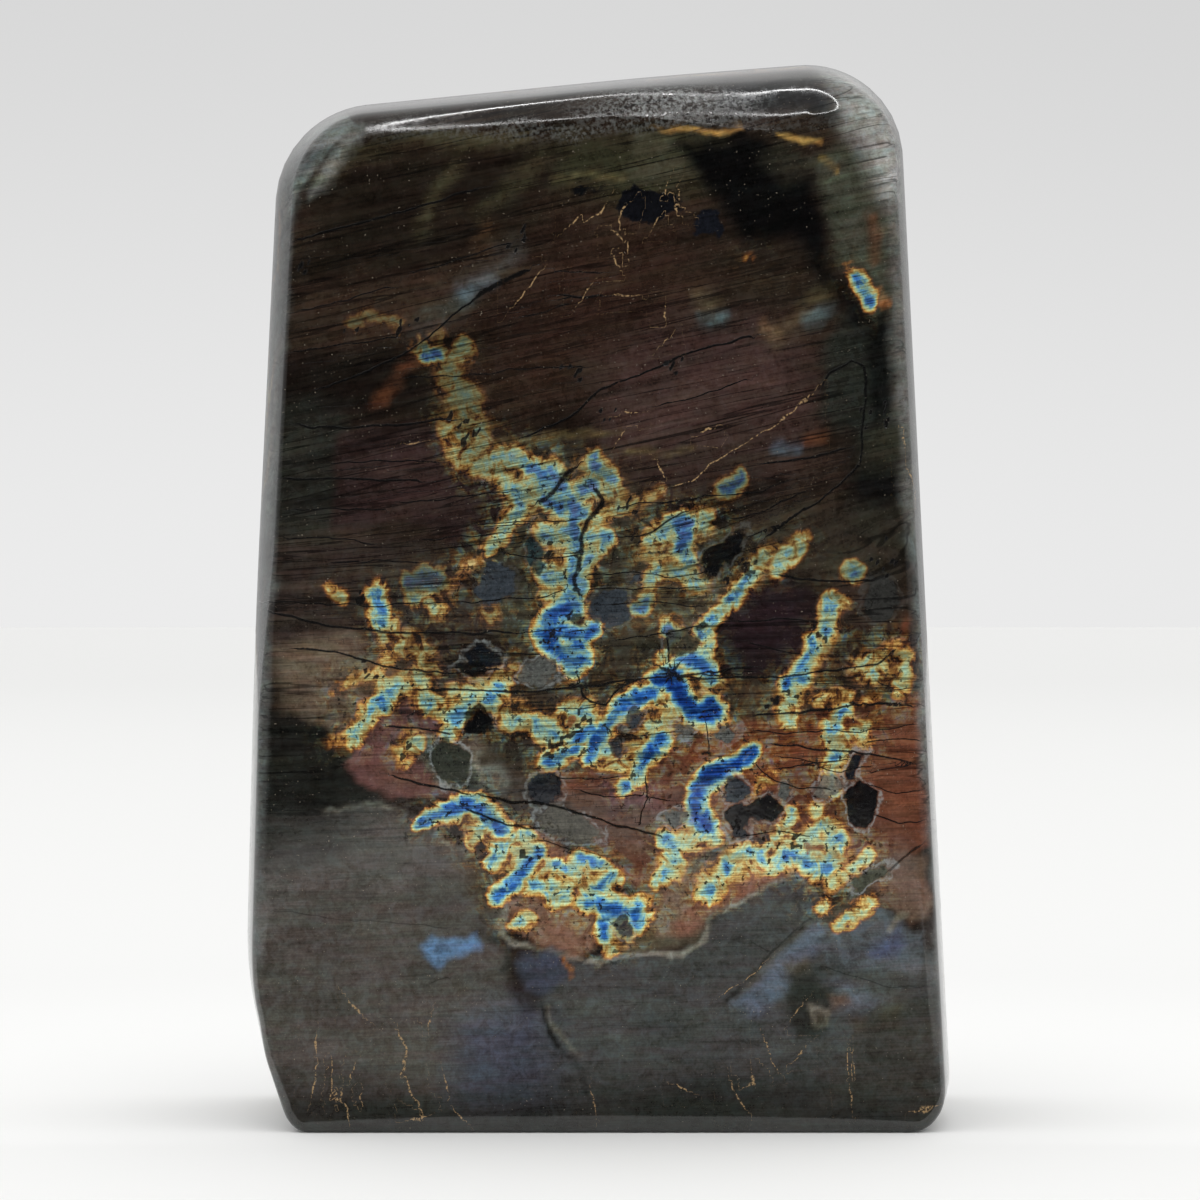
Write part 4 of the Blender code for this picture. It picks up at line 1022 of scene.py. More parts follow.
def face_fields(points):
    """Everything laid out on the face, at points in mm: a dictionary of attribute names and values."""
    drawn = warped(points, *DRAWN_WARPS)
    gentle = warped(points, CRACK_WARP)
    phase, strength, closeness = flash_field(drawn)
    grain, tone = grain_field(warped(points, *GRAIN_WARPS))
    sizes = ((WIDE_WIDTH, WIDE_CRACKS), (BOLD_WIDTH, BOLD_CRACKS), (FINE_WIDTH, FINE_CRACKS))
    cracks = [(half, line) for half, lines in sizes for line in lines]
    flecks = [(half * FLECK_THIN, line) for half, line in FLECKS]
    return {
        "ground": np.c_[ground_and_rim_shine_field(drawn), np.ones(len(points))],
        "tone": tone,
        "phase": phase,
        "strength": strength,
        "closeness": closeness,
        "grain": grain,
        "crack": line_field(gentle, cracks),
        "fleck": line_field(warped(gentle, FLECK_WARP), flecks),
        "pits": pit_field(points),
    }


# The stone's mesh

# Where the pieces of the baked picture lie, in shares of its width, and their scale per mm.
FRONT_SCALE, BACK_SCALE, STRIP_SCALE = 0.0048, 0.0022, 0.0017
FRONT_CORNER, BACK_CORNER = (0.325, 0.048), (0.825, 0.075)
STRIP_CORNER, STRIP_RISE, STRIP_COUNT = (0.655, 0.60), 0.130, 3
# The share of the side's depth over which the front's pattern fades out.
FRONT_FADES_BY = 0.45


def wobble(points):
    """A gentle unevenness of the hand-polished faces, in mm."""
    return (rough_noise(points, WOBBLE_SIZE, WOBBLE_SEED) - 0.5) * 2 * WOBBLE


def side_strips(count):
    """The ring round the side cut into runs that share their end points: the ring numbers of each."""
    cuts = np.linspace(0, count, STRIP_COUNT + 1).astype(int)
    return [np.arange(low, high + 1) for low, high in zip(cuts[:-1], cuts[1:])]


def strip_faces(inner, outer):
    """Quads between two runs of points, the inner one nearer the front."""
    return np.stack([inner[:-1], outer[:-1], outer[1:], inner[1:]], axis=1)


def closed(ring):
    """A ring of numbers with its first one again at its end."""
    return np.append(ring, ring[0])


def grid_faces(ids):
    """Quads over a grid of point numbers, facing the front."""
    return np.stack([ids[:-1, :-1], ids[:-1, 1:], ids[1:, 1:], ids[1:, :-1]], axis=-1).reshape(-1, 4)


def grid_ring(ids):
    """The numbers round a grid's edge: along the bottom, up the right, back along the top and down."""
    return np.concatenate([ids[0, :-1], ids[:-1, -1], ids[-1, :0:-1], ids[:0:-1, 0]])


def grid_of_numbers(first, across, up):
    """Point numbers in rows, for a grid of so many cells."""
    return first + np.arange((across + 1) * (up + 1)).reshape(up + 1, across + 1)


class PictureMap:
    """The points of the baked picture, numbered apart from the stone's own points.

    So the picture can be cut along the sides. `owner` says which of the stone's points each belongs to.
    """

    def __init__(self):
        self.owner = np.empty(0, int)
        self.places = np.empty((0, 2))

    def lay(self, ids, places):
        """Adds picture points for these points of the stone and gives their numbers."""
        first = len(self.owner)
        self.owner = np.concatenate([self.owner, ids.ravel()])
        self.places = np.concatenate([self.places, places.reshape(-1, 2)])
        return first + np.arange(ids.size).reshape(ids.shape)


def offset_picture(ring_points, normals, path):
    """Where loops round an island's edge lie in the picture: outwards by the length of rim covered."""
    return [ring_points + normals * length[:, None] for length in path]


def rim_lengths(loops):
    """How far along the rim each loop lies from the first, point by point."""
    steps = [np.linalg.norm(b - a, axis=1) for a, b in zip(loops[:-1], loops[1:])]
    return list(np.cumsum(steps, axis=0))


def widening_triangles(inner, outer):
    """Triangles from a fine ring to a coarse one, which takes every COARSE-th of its points.

    Two triangles meet at each coarse point on either side, and one bridges to the next coarse point.
    """
    a, b, c, d, e = (inner[k : k + len(inner) - COARSE : COARSE] for k in range(COARSE + 1))
    left, right = outer[:-1], outer[1:]
    corners = ((a, left, b), (b, left, c), (c, left, right), (c, right, d), (d, right, e))
    return np.concatenate([np.stack(corner, axis=1) for corner in corners])


def stone_arrays(crown_front, crown_back):
    """The stone's points in mm, its quads and triangles, and the picture place of each face corner."""
    rows = row_shares(CELLS_UP)
    along = ring_lengths(CELLS_ACROSS, rows)
    fine, coarse = rim_loops(along, along[::COARSE])
    n, m = len(along), len(along) // COARSE

    flat, crown = coons_grid(fine[0][:, [0, 2]], rows)
    uneven = wobble(flat.reshape(-1, 2)).reshape(crown.shape) * crown
    front = placed(flat, front_at(flat[..., 1]) - crown_front * crown + uneven)
    back_flat, back_crown = coons_grid(coarse[-1][:, [0, 2]], rows[::COARSE])
    back = placed(back_flat, back_at(back_flat[..., 1]) + crown_back * back_crown)

    points = np.concatenate([front.reshape(-1, 3), *fine[1:], *coarse[:-1], back.reshape(-1, 3)])
    front_ids = grid_of_numbers(0, CELLS_ACROSS, CELLS_UP)
    rim_ids = [front_ids.size + k * n + np.arange(n) for k in range(len(fine) - 1)]
    base = front_ids.size + (len(fine) - 1) * n
    coarse_ids = [base + k * m + np.arange(m) for k in range(len(coarse) - 1)]
    back_first = base + (len(coarse) - 1) * m
    back_ids = grid_of_numbers(back_first, CELLS_ACROSS // COARSE, CELLS_UP // COARSE)
    picture = PictureMap()

    # The front island: its grid, its rim and the first coarse loop.
    normals = outline_at(along)[1]
    ring_flat = fine[0][:, [0, 2]]
    path = rim_lengths(fine)
    front_numbers = picture.lay(front_ids, FRONT_CORNER + flat * FRONT_SCALE)
    rings = [grid_ring(front_numbers)]
    for ids, places in zip(rim_ids, offset_picture(ring_flat, normals, path)):
        rings.append(picture.lay(ids, FRONT_CORNER + places * FRONT_SCALE))
    reach = path[-1][::COARSE] + np.linalg.norm(coarse[0] - fine[-1][::COARSE], axis=1)
    outer_places = ring_flat[::COARSE] + normals[::COARSE] * reach[:, None]
    outer = picture.lay(coarse_ids[0], FRONT_CORNER + outer_places * FRONT_SCALE)
    quads = [grid_faces(front_numbers)]
    quads += [strip_faces(closed(a), closed(b)) for a, b in zip(rings[:-1], rings[1:])]
    triangles = widening_triangles(closed(rings[-1]), closed(outer))

    # The side strip, cut into pieces laid one above the other.
    side_path = [np.zeros(m)] + rim_lengths(coarse[:SIDE_STEPS])
    around = np.append(along[::COARSE], along[0] + outline_length())
    for k, ring in enumerate(side_strips(m)):
        across = (around[ring] - around[ring[0]]) * STRIP_SCALE
        lower = np.array(STRIP_CORNER) + (0, STRIP_RISE * k)
        numbers = []
        for ids, lengths in zip(coarse_ids, side_path):
            places = np.stack([across, lengths[ring % m] * STRIP_SCALE], axis=1)
            numbers.append(picture.lay(ids[ring % m], lower + places))
        quads += [strip_faces(first, second) for first, second in zip(numbers[:-1], numbers[1:])]

    # The back island: its rim and its grid, seen as a mirror image.
    back_ring = coarse[-1][:, [0, 2]]
    back_path = rim_lengths(coarse[SIDE_STEPS - 1 :][::-1])
    back_numbers = picture.lay(back_ids, BACK_CORNER + back_flat * BACK_SCALE)
    rings = [grid_ring(back_numbers)]
    back_rim_ids = coarse_ids[SIDE_STEPS - 1 :][::-1]
    for ids, places in zip(back_rim_ids, offset_picture(back_ring, normals[::COARSE], back_path)):
        rings.append(picture.lay(ids, BACK_CORNER + places * BACK_SCALE))
    quads += [strip_faces(closed(b), closed(a)) for a, b in zip(rings[:-1], rings[1:])]
    quads.append(grid_faces(back_numbers)[:, ::-1])

    shift = (np.array(STONE_LOW) + STONE_HIGH) / 2 / MM - (points.min(axis=0) + points.max(axis=0)) / 2
    shift[2] = 0
    frontness, rim = shares_of_front(len(points), front_ids.size, rim_ids, coarse_ids)
    return {
        "flat": points, "points": points + shift, "quads": np.concatenate(quads), "triangles": triangles,
        "owner": picture.owner, "picture": picture.places, "front": frontness, "rim": rim,
    }


def shares_of_front(count, front_count, rim_ids, coarse_ids):
    """How far each point shows the front's pattern, and how far it lies out on the rim, from 0 to 1.

    The pattern fades out over the side, and the rim's share grows evenly from the face outwards.
    """
    frontness = np.zeros(count)
    frontness[: coarse_ids[0][0]] = 1
    fade = 1 - smooth(0.0, FRONT_FADES_BY, np.linspace(0, 1, SIDE_STEPS + 1)[1:-1])
    for ids, value in zip(coarse_ids, fade):
        frontness[ids] = value
    rim = np.ones(count)
    rim[:front_count] = 0
    for k, ids in enumerate(rim_ids[:-1], start=1):
        rim[ids] = k / len(rim_ids)
    return frontness, rim


def outline_length():
    """The length once round the outline."""
    _, radii, _, sweep, runs = rounded_outline()
    return (radii * sweep + runs).sum()


def frost_field(points):
    """How rough the polish is: sugary on the rounding at the upper right and in a strip below it."""
    drawn = warped(points, FROST_WARP)
    patch = smooth(-1.5, 2.5, ellipse_distance(drawn, *FROST_PATCH))
    strip = smooth(-1.2, 1.2, ellipse_distance(drawn, *FROST_STRIP)) * STRIP_FROST
    return np.maximum(patch, strip)


def stone_mesh(look):
    """The stone as a mesh, with its picture map and everything laid out on its face as attributes."""
    arrays = stone_arrays(look.front_crown / MM, look.back_crown / MM)
    owner, picture = arrays["owner"], arrays["picture"]
    quads, triangles = arrays["quads"], arrays["triangles"]
    mesh = bpy.data.meshes.new("labradorite freeform")
    faces = owner[quads].tolist() + owner[triangles].tolist()
    mesh.from_pydata((arrays["points"] * MM).tolist(), [], faces)
    places = np.concatenate([picture[quads].reshape(-1, 2), picture[triangles].reshape(-1, 2)])
    picture_map = mesh.uv_layers.new(name="OFBake")
    picture_map.uv.foreach_set("vector", places.ravel())
    face = arrays["flat"][:, [0, 2]]
    fields = face_fields(face)
    fields |= {"frost": frost_field(face), "front": arrays["front"], "rim": arrays["rim"]}
    for name, values in fields.items():
        is_colour = values.ndim == 2
        attribute = mesh.attributes.new(name, "FLOAT_COLOR" if is_colour else "FLOAT", "POINT")
        attribute.data.foreach_set("color" if is_colour else "value", values.ravel())
    mesh.shade_smooth()
    return mesh


# Materials


class Term:
    """An output socket of a node. Arithmetic on terms adds Math nodes."""

    def __init__(self, nodes, socket):
        self.nodes = nodes
        self.socket = socket

    def math(self, operation, *values):
        return self.nodes.add("ShaderNodeMath", {"operation": operation}, dict(enumerate(values)))

    def __add__(self, other):
        return self.math("ADD", self, other)

    __radd__ = __add__

    def __sub__(self, other):
        return self.math("SUBTRACT", self, other)

    def __rsub__(self, other):
        return self.math("SUBTRACT", other, self)

    def __mul__(self, other):
        return self.math("MULTIPLY", self, other)

    __rmul__ = __mul__

    def __truediv__(self, other):
        return self.math("DIVIDE", self, other)

    def __abs__(self):
        return self.math("ABSOLUTE", self)

    def greater(self, other):
        """The larger of the two."""
        return self.math("MAXIMUM", self, other)

    def between(self, low, high):
        """0 at one value and 1 at the other, smoothly between them and held beyond."""
        values = {0: self, 1: low, 2: high, 3: 0.0, 4: 1.0}
        return self.nodes.add("ShaderNodeMapRange", {"interpolation_type": "SMOOTHSTEP"}, values)

    def swing(self, low, high):
        """Minus a half at one value and a half at the other, smoothly between them and held beyond."""
        return self.between(low, high) - 0.5


class Nodes:
    """Adds nodes to a material's or the world's tree."""

    def __init__(self, tree):
        self.tree = tree

    def add(self, kind, settings=None, values=None, output=0):
        """A new node: its settings first, then its sockets' values or links. Gives one of its outputs."""
        node = self.tree.nodes.new(kind)
        for name, setting in (settings or {}).items():
            if name == "stops":
                self.set_stops(node.color_ramp.elements, setting)
            else:
                setattr(node, name, setting)
        for name, value in (values or {}).items():
            self.connect(node.inputs[name], value)
        return Term(self, node.outputs[output])

    def set_stops(self, elements, stops):
        """Puts a ramp's elements at these places with these tones."""
        while len(elements) < len(stops):
            elements.new(1.0)
        for element, (place, tone) in zip(elements, stops):
            element.position = place
            element.color = (*linear(tone), 1.0)

    def connect(self, socket, value):
        """Links a term to a socket, or sets the socket to a plain value."""
        if isinstance(value, Term):
            self.tree.links.new(value.socket, socket)
        else:
            socket.default_value = value

    def mix(self, share, first, second):
        """One colour turning into another."""
        return self.add("ShaderNodeMix", {"data_type": "RGBA"}, {0: share, 6: first, 7: second}, 2)

    def ramp(self, stops, place):
        """The colour at a place along these stops."""
        return self.add("ShaderNodeValToRGB", {"stops": stops}, {0: place})

    def scale(self, colour, amount):
        """A colour or a vector times a number."""
        return self.add("ShaderNodeVectorMath", {"operation": "SCALE"}, {"Vector": colour, "Scale": amount})

    def multiply(self, first, second):
        """A colour or a vector times another, part by part."""
        return self.add("ShaderNodeVectorMath", {"operation": "MULTIPLY"}, {0: first, 1: second})

    def tint(self, share, colour, factors):
        """A colour turning into itself times these factors for red, green and blue."""
        return self.mix(share, colour, self.multiply(colour, factors))

    def noise(self, place, scale, detail=2.0, rough=0.5, bend=0.0):
        """Smooth noise about 0.5 with so many lumps to the unit."""
        values = {"Vector": place, "Scale": scale, "Detail": detail, "Roughness": rough, "Distortion": bend}
        return self.add("ShaderNodeTexNoise", None, values)

    def field(self, name, output="Fac"):
        """A field laid out on the mesh."""
        return self.add("ShaderNodeAttribute", {"attribute_name": name}, None, output)

    def turned(self, place, degrees):
        """The place turned about Y, so that what lies level slopes up to the right by so many degrees."""
        return self.add("ShaderNodeMapping", None, {"Vector": place, "Rotation": (0, np.radians(degrees), 0)})


# Flash from a vein's edge to its middle, and the dull clouds of the sides and the back.
FLASH_STOPS = (
    (0.0, (66, 46, 32)), (0.07, (112, 66, 38)), (0.15, (166, 98, 46)), (0.24, (196, 140, 68)),
    (0.35, (204, 180, 108)), (0.46, (190, 204, 152)), (0.56, (152, 192, 172)), (0.64, (110, 166, 184)),
    (0.72, (74, 128, 172)), (0.84, (40, 92, 160)), (1.0, (20, 52, 118)),
)
BACK_STOPS = (
    (0.32, (14, 14, 12)), (0.42, (36, 36, 31)), (0.49, (60, 50, 40)), (0.54, (44, 34, 31)),
    (0.61, (64, 65, 60)), (0.70, (92, 92, 86)),
)
RIM_LINE = (150, 158, 158)
# The rims' grey: partly their own tone, partly a painted bluish sheen from the room.
RIM_GREY_AND_SHEEN = (56, 60, 61)
DARK_LINE = (6, 6, 6)
PIT_TONE = (9, 8, 8)
TAN_TONE = (172, 142, 102)
DUST_TONE = (150, 140, 124)
FROST_TONE = (134, 138, 136)
# What the ground's red, green and blue are multiplied by where it varies.
PLUM_HUE, GREEN_HUE = (1.06, 0.97, 0.98), (0.96, 1.02, 0.97)
LIGHT_BAND, DARK_BAND = (1.75, 1.8, 1.6), (0.42, 0.4, 0.42)
BLUE_PATCH, RUSTY_PATCH = (0.78, 1.05, 1.28), (1.28, 0.98, 0.74)
# How the layers rise to the right low down, and how noise is drawn out along them and along bands.
LOW_SLOPE = 2.0
DRAWN_OUT, BANDED = (0.045, 0.4, 1.0), (0.22, 0.4, 1.0)
STONE_IOR = 1.56


def colour(tone):
    """A tone out of 255 as a socket's colour."""
    return (*linear(tone), 1.0)


class StoneFinish:
    """The stone's finishes over its laid-out fields and shared noise, at lumps to the mm."""

    def __init__(self, nodes, look):
        self.nodes = nodes
        self.look = look
        self.place = nodes.scale(nodes.add("ShaderNodeTexCoord", None, None, "Object"), 1 / MM)
        self.height = nodes.add("ShaderNodeSeparateXYZ", None, {0: self.place}, 2)
        low_layers, high_layers = nodes.turned(self.place, LOW_SLOPE), nodes.turned(self.place, LAYER_SLOPE)
        layers = nodes.mix(self.height.between(*LAYER_HEIGHTS), low_layers, high_layers)
        self.drawn_out = nodes.multiply(layers, DRAWN_OUT)
        self.banded = nodes.multiply(layers, BANDED)
        self.front = nodes.field("front")
        self.rim = nodes.field("rim")
        self.closeness = nodes.field("closeness") * self.front
        # Noise from broad clouds down to the grain of the polish.
        self.broad = nodes.noise(self.place, 0.03, 4.0, 0.55, 0.7)
        self.cloud = nodes.noise(self.place, 0.11, 4.0, 0.6)
        self.swell = nodes.noise(self.place, 0.36, 3.0, 0.58, 0.9)
        self.patch = nodes.noise(self.place, 0.5, 4.0, 0.65, 0.7)
        self.blot = nodes.noise(self.place, 0.9, 3.0, 0.6, 0.5)
        self.grit = nodes.noise(self.place, 2.4, 3.0, 0.65)
        self.streak = nodes.noise(self.drawn_out, 1.2, 3.0, 0.6, 0.3).swing(0.34, 0.66)
        self.lamella = nodes.noise(self.drawn_out, 3.4, 2.0, 0.6).swing(0.36, 0.64)
        self.clump = self.patch.swing(0.32, 0.68)
        self.lump = self.blot.swing(0.33, 0.67)
        self.speckle = self.grit.swing(0.32, 0.68)

    def ground(self):
        """What is laid out on the face with its painted rim reflections, the rims' grey with a painted sheen,
        clouds of like tones round the back, and mottling over both.
        """
        nodes, height = self.nodes, self.height
        back = nodes.ramp(BACK_STOPS, nodes.noise(self.place, 0.045, 6.0, 0.62, 0.8))
        # The laid-out ground holds the painted reflections on the rims.
        ground = nodes.mix(self.front, back, nodes.field("ground", "Color"))
        # Over the rims, their grey with a painted sheen.
        ground = nodes.mix(self.rim.between(0.0, 1.0) * 0.3, ground, colour(RIM_GREY_AND_SHEEN))
        hue = nodes.noise(self.banded, 0.45, 4.0, 0.6, 0.6).between(0.36, 0.64)
        ground = nodes.mix(hue, nodes.multiply(ground, PLUM_HUE), nodes.multiply(ground, GREEN_HUE))
        band = nodes.noise(self.banded, 0.2, 5.0, 0.62, 0.9)
        banding = 0.45 + height.between(42.0, 58.0) * 0.55
        ground = nodes.tint(band.between(0.50, 0.70) * 0.5 * banding, ground, LIGHT_BAND)
        ground = nodes.tint(band.between(0.50, 0.32) * 0.55 * banding, ground, DARK_BAND)
        mottle = 1 + (self.cloud - 0.5) * 0.9 + self.clump * (0.40 + self.closeness * 0.35)
        mottle = mottle + self.streak * (0.12 + height.between(44.0, 62.0) * 0.32)
        mottle = mottle + self.lump * 0.18 + self.speckle * 0.24 + self.lamella * 0.18
        ground = nodes.scale(ground, mottle * self.look.ground_gain)
        tinted = 0.4 + self.closeness * 0.6
        ground = nodes.tint(self.patch.between(0.50, 0.64) * 0.6 * tinted, ground, BLUE_PATCH)
        return nodes.tint(self.patch.between(0.50, 0.36) * 0.5 * tinted, ground, RUSTY_PATCH)

    def grains(self, ground):
        """The ground with grains of dull mineral on it, how far inside one it is, and the line round them."""
        nodes = self.nodes
        grain = nodes.field("grain") + (self.patch - 0.5) * 1.5 + (self.grit - 0.5) * 0.5
        inside = grain.between(-0.2, 0.3) * self.front
        line = (1 - abs(grain + 0.35).between(0.0, 0.42)) * nodes.field("tone", "Alpha") * self.front
        shade = 1.0 + self.speckle * 0.5 + self.streak * 0.3 + self.lump * 0.4
        grain_tone = nodes.scale(nodes.field("tone", "Color"), shade)
        return nodes.mix(inside * 0.985, ground, grain_tone), inside, line

    def flash(self, ground, inside):
        """The laid-out veins broken up by noise, paler mottling between them, and islands on the back."""
        nodes, front, closeness, lamella = self.nodes, self.front, self.closeness, self.lamella
        ragged = self.swell.swing(0.34, 0.66) * 0.26 + self.clump * 0.13 + self.lump * 0.045
        ragged = ragged + self.speckle * 0.02 + lamella * 0.03
        gaps = 1 - self.swell.between(0.34, 0.50)
        laid = nodes.field("phase")
        veins = laid + ragged * laid.between(0.0, 0.3) - gaps * 0.05
        ribbed = lamella * (0.5 + veins.between(0.5, 0.8) * 0.45)
        sheen = (0.76 + ribbed + self.streak * 0.26) * (1 + self.speckle * 0.35)

        ground = nodes.scale(ground, 1 - closeness * gaps * 0.3)
        mingled_phase = 0.36 + closeness * 0.08 + self.clump * 0.42 + self.lump * 0.16 + self.speckle * 0.06
        mingled_share = closeness * self.swell.between(0.42, 0.62) * (0.40 + lamella * 0.3) * front
        pale = nodes.scale(nodes.ramp(FLASH_STOPS, mingled_phase), sheen * 0.75)
        face = nodes.mix(mingled_share * (1 - inside * 0.9), ground, pale)

        ridge = 1 - (abs(nodes.noise(self.place, 0.045, 2.5, 0.5, 0.9) - 0.5) / 0.05).between(0.0, 1.0)
        islands = ridge * self.broad.between(0.46, 0.60) * (0.45 + self.patch * 0.7)
        back_phase = islands + ragged * 0.6 - gaps * 0.2
        flash = nodes.ramp(FLASH_STOPS, veins * front + back_phase * (1 - front))
        fringe = 1 - (1 - veins.between(0.18, 0.42)) * (0.12 - self.clump * 0.5)
        brighter_low = 1.2 - self.height.between(46.0, 64.0) * 0.2
        flash = nodes.scale(flash, sheen * fringe * brighter_low * self.look.flash_gain)
        vein_share = veins.between(0.0, 0.30) * nodes.field("strength") * (1 - gaps * 0.35)
        shown = vein_share * front + back_phase.between(0.06, 0.34) * 0.55 * (1 - front)
        return nodes.mix(shown * (1 - inside * 0.9), face, flash)

    def hairlines(self):
        """Hairline partings: where drawn-out noise crosses one value, shown in patches."""
        nodes = self.nodes
        long_parting = abs(nodes.noise(self.drawn_out, 0.34, 3.0, 0.5, 0.4) - 0.5) / 0.015
        short_parting = abs(nodes.noise(self.drawn_out, 0.8, 2.0, 0.5, 0.4) - 0.47) / 0.018
        short_places = self.cloud.between(0.46, 0.58).greater(self.closeness)
        long_lines = (1 - long_parting.between(0.2, 1.5)) * (0.3 + self.broad.between(0.40, 0.5) * 0.7)
        short_lines = (1 - short_parting.between(0.2, 1.4)) * short_places * 0.6
        return long_lines.greater(short_lines) * (0.25 + self.height.between(44.0, 60.0) * 0.6)

    def marks(self, face):
        """The face with cracks, pits, dust and caught mineral, and how far each point is crack and pit."""
        nodes, front, grit = self.nodes, self.front, self.grit
        crack_path = abs(nodes.field("crack") + (grit - 0.5) * 1.6)
        cracks = (1 - crack_path.between(0.5, 1.6)) * self.patch.between(0.22, 0.40) * front
        cracks = cracks * (0.4 + self.height.between(38.0, 52.0) * 0.6)
        dark = cracks.greater(self.hairlines() * 0.8)
        speck = nodes.noise(self.place, 1.15, 2.0, 0.5).between(0.61, 0.66) * self.closeness
        pits = (nodes.field("pits") * front + (grit - 0.5) * 0.6).between(0.35, 0.6).greater(speck)
        fleck_path = abs(nodes.field("fleck") + (grit - 0.5) * 1.6)
        flecks = (1 - fleck_path.between(0.4, 1.2)) * grit.between(0.44, 0.56) * front
        dust = nodes.noise(self.place, 2.9, 1.0, 0.5).between(0.75, 0.78) * 0.5
        face = nodes.mix(dark * self.look.crack_darkness, face, colour(DARK_LINE))
        face = nodes.mix(pits * 0.9, face, colour(PIT_TONE))
        face = nodes.mix(dust, face, colour(DUST_TONE))
        return nodes.mix(flecks * 0.75, face, colour(TAN_TONE)), cracks, pits


def stone_material(look):
    """Polished labradorite: dull ground, grains, veins of flash, cracks, pits and flecks under one gloss."""
    material = bpy.data.materials.new("polished labradorite")
    material.use_nodes = True
    nodes = Nodes(material.node_tree)
    shader = material.node_tree.nodes["Principled BSDF"]
    finish = StoneFinish(nodes, look)

    ground, inside, line = finish.grains(finish.ground())
    face = finish.flash(ground, inside)
    face = nodes.mix(line * finish.blot.between(0.3, 0.6) * 0.6, face, colour(RIM_LINE))
    face, cracks, pits = finish.marks(face)
    sugar = nodes.noise(finish.place, 1.5, 5.0, 0.75).between(0.44, 0.62)
    frost = nodes.field("frost") * finish.front * sugar
    face = nodes.mix(frost * 0.6, face, colour(FROST_TONE))

    rim_wear = finish.rim * finish.patch.between(0.35, 0.7) * 0.12
    roughness = look.polish + finish.grit * 0.03 + rim_wear + cracks * 0.15 + pits * 0.15 + frost * 0.04
    relief = (0.0 - cracks * 0.012) - pits * 0.03 + frost * 0.006 + finish.cloud * 0.02
    normal = nodes.add("ShaderNodeBump", None, {"Strength": 1.0, "Distance": MM, "Height": relief})

    nodes.connect(shader.inputs["Base Color"], face)
    nodes.connect(shader.inputs["Roughness"], roughness)
    nodes.connect(shader.inputs["Normal"], normal)
    shader.inputs["IOR"].default_value = STONE_IOR
    return material


# The stage

FLOOR_RADIUS = 14.0
FLOOR_RINGS, FLOOR_SPOKES = 24, 96
# How light the floor is at the stone's foot, a little way off, and far away: the lighter foot is painted
# light against the stone's shadow.
FLOOR_SHARES = (1.0, 0.912, 0.835)
# The backdrop as the camera sees it: at the horizon, at this rise in the picture, and less to the right.
HORIZON_LIGHT, TOP_OF_PICTURE_LIGHT = 0.84, 0.68
TOP_OF_PICTURE = 0.132
DARKER_RIGHT = 0.02
# The room's light on dull surfaces: from all round, and more from overhead and from the front.
ROOM_LIGHT, OVERHEAD_LIGHT, FRONT_LIGHT = 0.92, 0.35, 0.22
# The room as polish mirrors it: all round, from behind, high up behind, and behind the camera.
MIRRORED_ROOM, MIRRORED_BEHIND, MIRRORED_HIGH = 0.34, 0.12, 0.64
DARK_SIDE = 0.012
# The ring of small lamps: how many, their size, the ring's size and place, and its light.
BEADS = 260
BEAD_RADIUS = 0.0032
RING_HALF_WIDTH, RING_HALF_DEPTH = 0.068, 0.28
RING_RIGHT, RING_BEHIND, RING_ABOVE = -0.012, -0.25, 0.30
RING_LIGHT = 30.0
CARD_HALF_WIDTH, CARD_STARTS, CARD_ENDS, CARD_LIFT = 0.6, 0.045, 3.0, 0.0005
SENSOR_WIDTH = 36.0
SEEN_AS_FAR_AS = 100.0


def floor_mesh():
    """A disc: rings of points at growing radii, r = R (k / rings)², joined by quads."""
    share = (np.arange(1, FLOOR_RINGS + 1) / FLOOR_RINGS) ** 2
    circle = direction(np.linspace(0, 2 * np.pi, FLOOR_SPOKES, endpoint=False))
    flat = (share[:, None, None] * circle * FLOOR_RADIUS).reshape(-1, 2)
    points = np.c_[np.r_[[[0.0, 0.0]], flat], np.zeros(len(flat) + 1)]
    spokes = np.arange(FLOOR_SPOKES)
    following = (spokes + 1) % FLOOR_SPOKES
    faces = np.stack([np.zeros_like(spokes), 1 + spokes, 1 + following], axis=1).tolist()
    for k in range(FLOOR_RINGS - 1):
        inner, outer = 1 + k * FLOOR_SPOKES, 1 + (k + 1) * FLOOR_SPOKES
        quads = (inner + spokes, outer + spokes, outer + following, inner + following)
        faces += np.stack(quads, axis=1).tolist()
    mesh = bpy.data.meshes.new("sweep")
    mesh.from_pydata(points.tolist(), [], faces)
    return mesh


def ring_mesh():
    """An oval of small lamps: eight-sided beads at even angles round an ellipse above the stone."""
    turn = np.linspace(0, 2 * np.pi, BEADS, endpoint=False)
    x, y = RING_RIGHT + RING_HALF_WIDTH * np.cos(turn), RING_BEHIND + RING_HALF_DEPTH * np.sin(turn)
    middles = np.stack([x, y, np.full(BEADS, STONE_HIGH[2] + RING_ABOVE)], axis=1)
    tips = np.concatenate([np.eye(3), -np.eye(3)]) * BEAD_RADIUS
    points = (middles[:, None] + tips).reshape(-1, 3)
    sides = [(a, b, c) for a in (0, 3) for b in (1, 4) for c in (2, 5)]
    faces = (np.arange(BEADS)[:, None, None] * len(tips) + np.array(sides)).reshape(-1, 3)
    mesh = bpy.data.meshes.new("ring light")
    mesh.from_pydata(points.tolist(), [], faces.tolist())
    return mesh


def card_mesh():
    """A card on the floor in front of the stone, so that its face mirrors something dark: one quad."""
    x, near, far, z = CARD_HALF_WIDTH, -CARD_STARTS, -CARD_ENDS, CARD_LIFT
    mesh = bpy.data.meshes.new("dark card")
    mesh.from_pydata([(-x, far, z), (x, far, z), (x, near, z), (-x, near, z)], [], [(0, 1, 2, 3)])
    return mesh


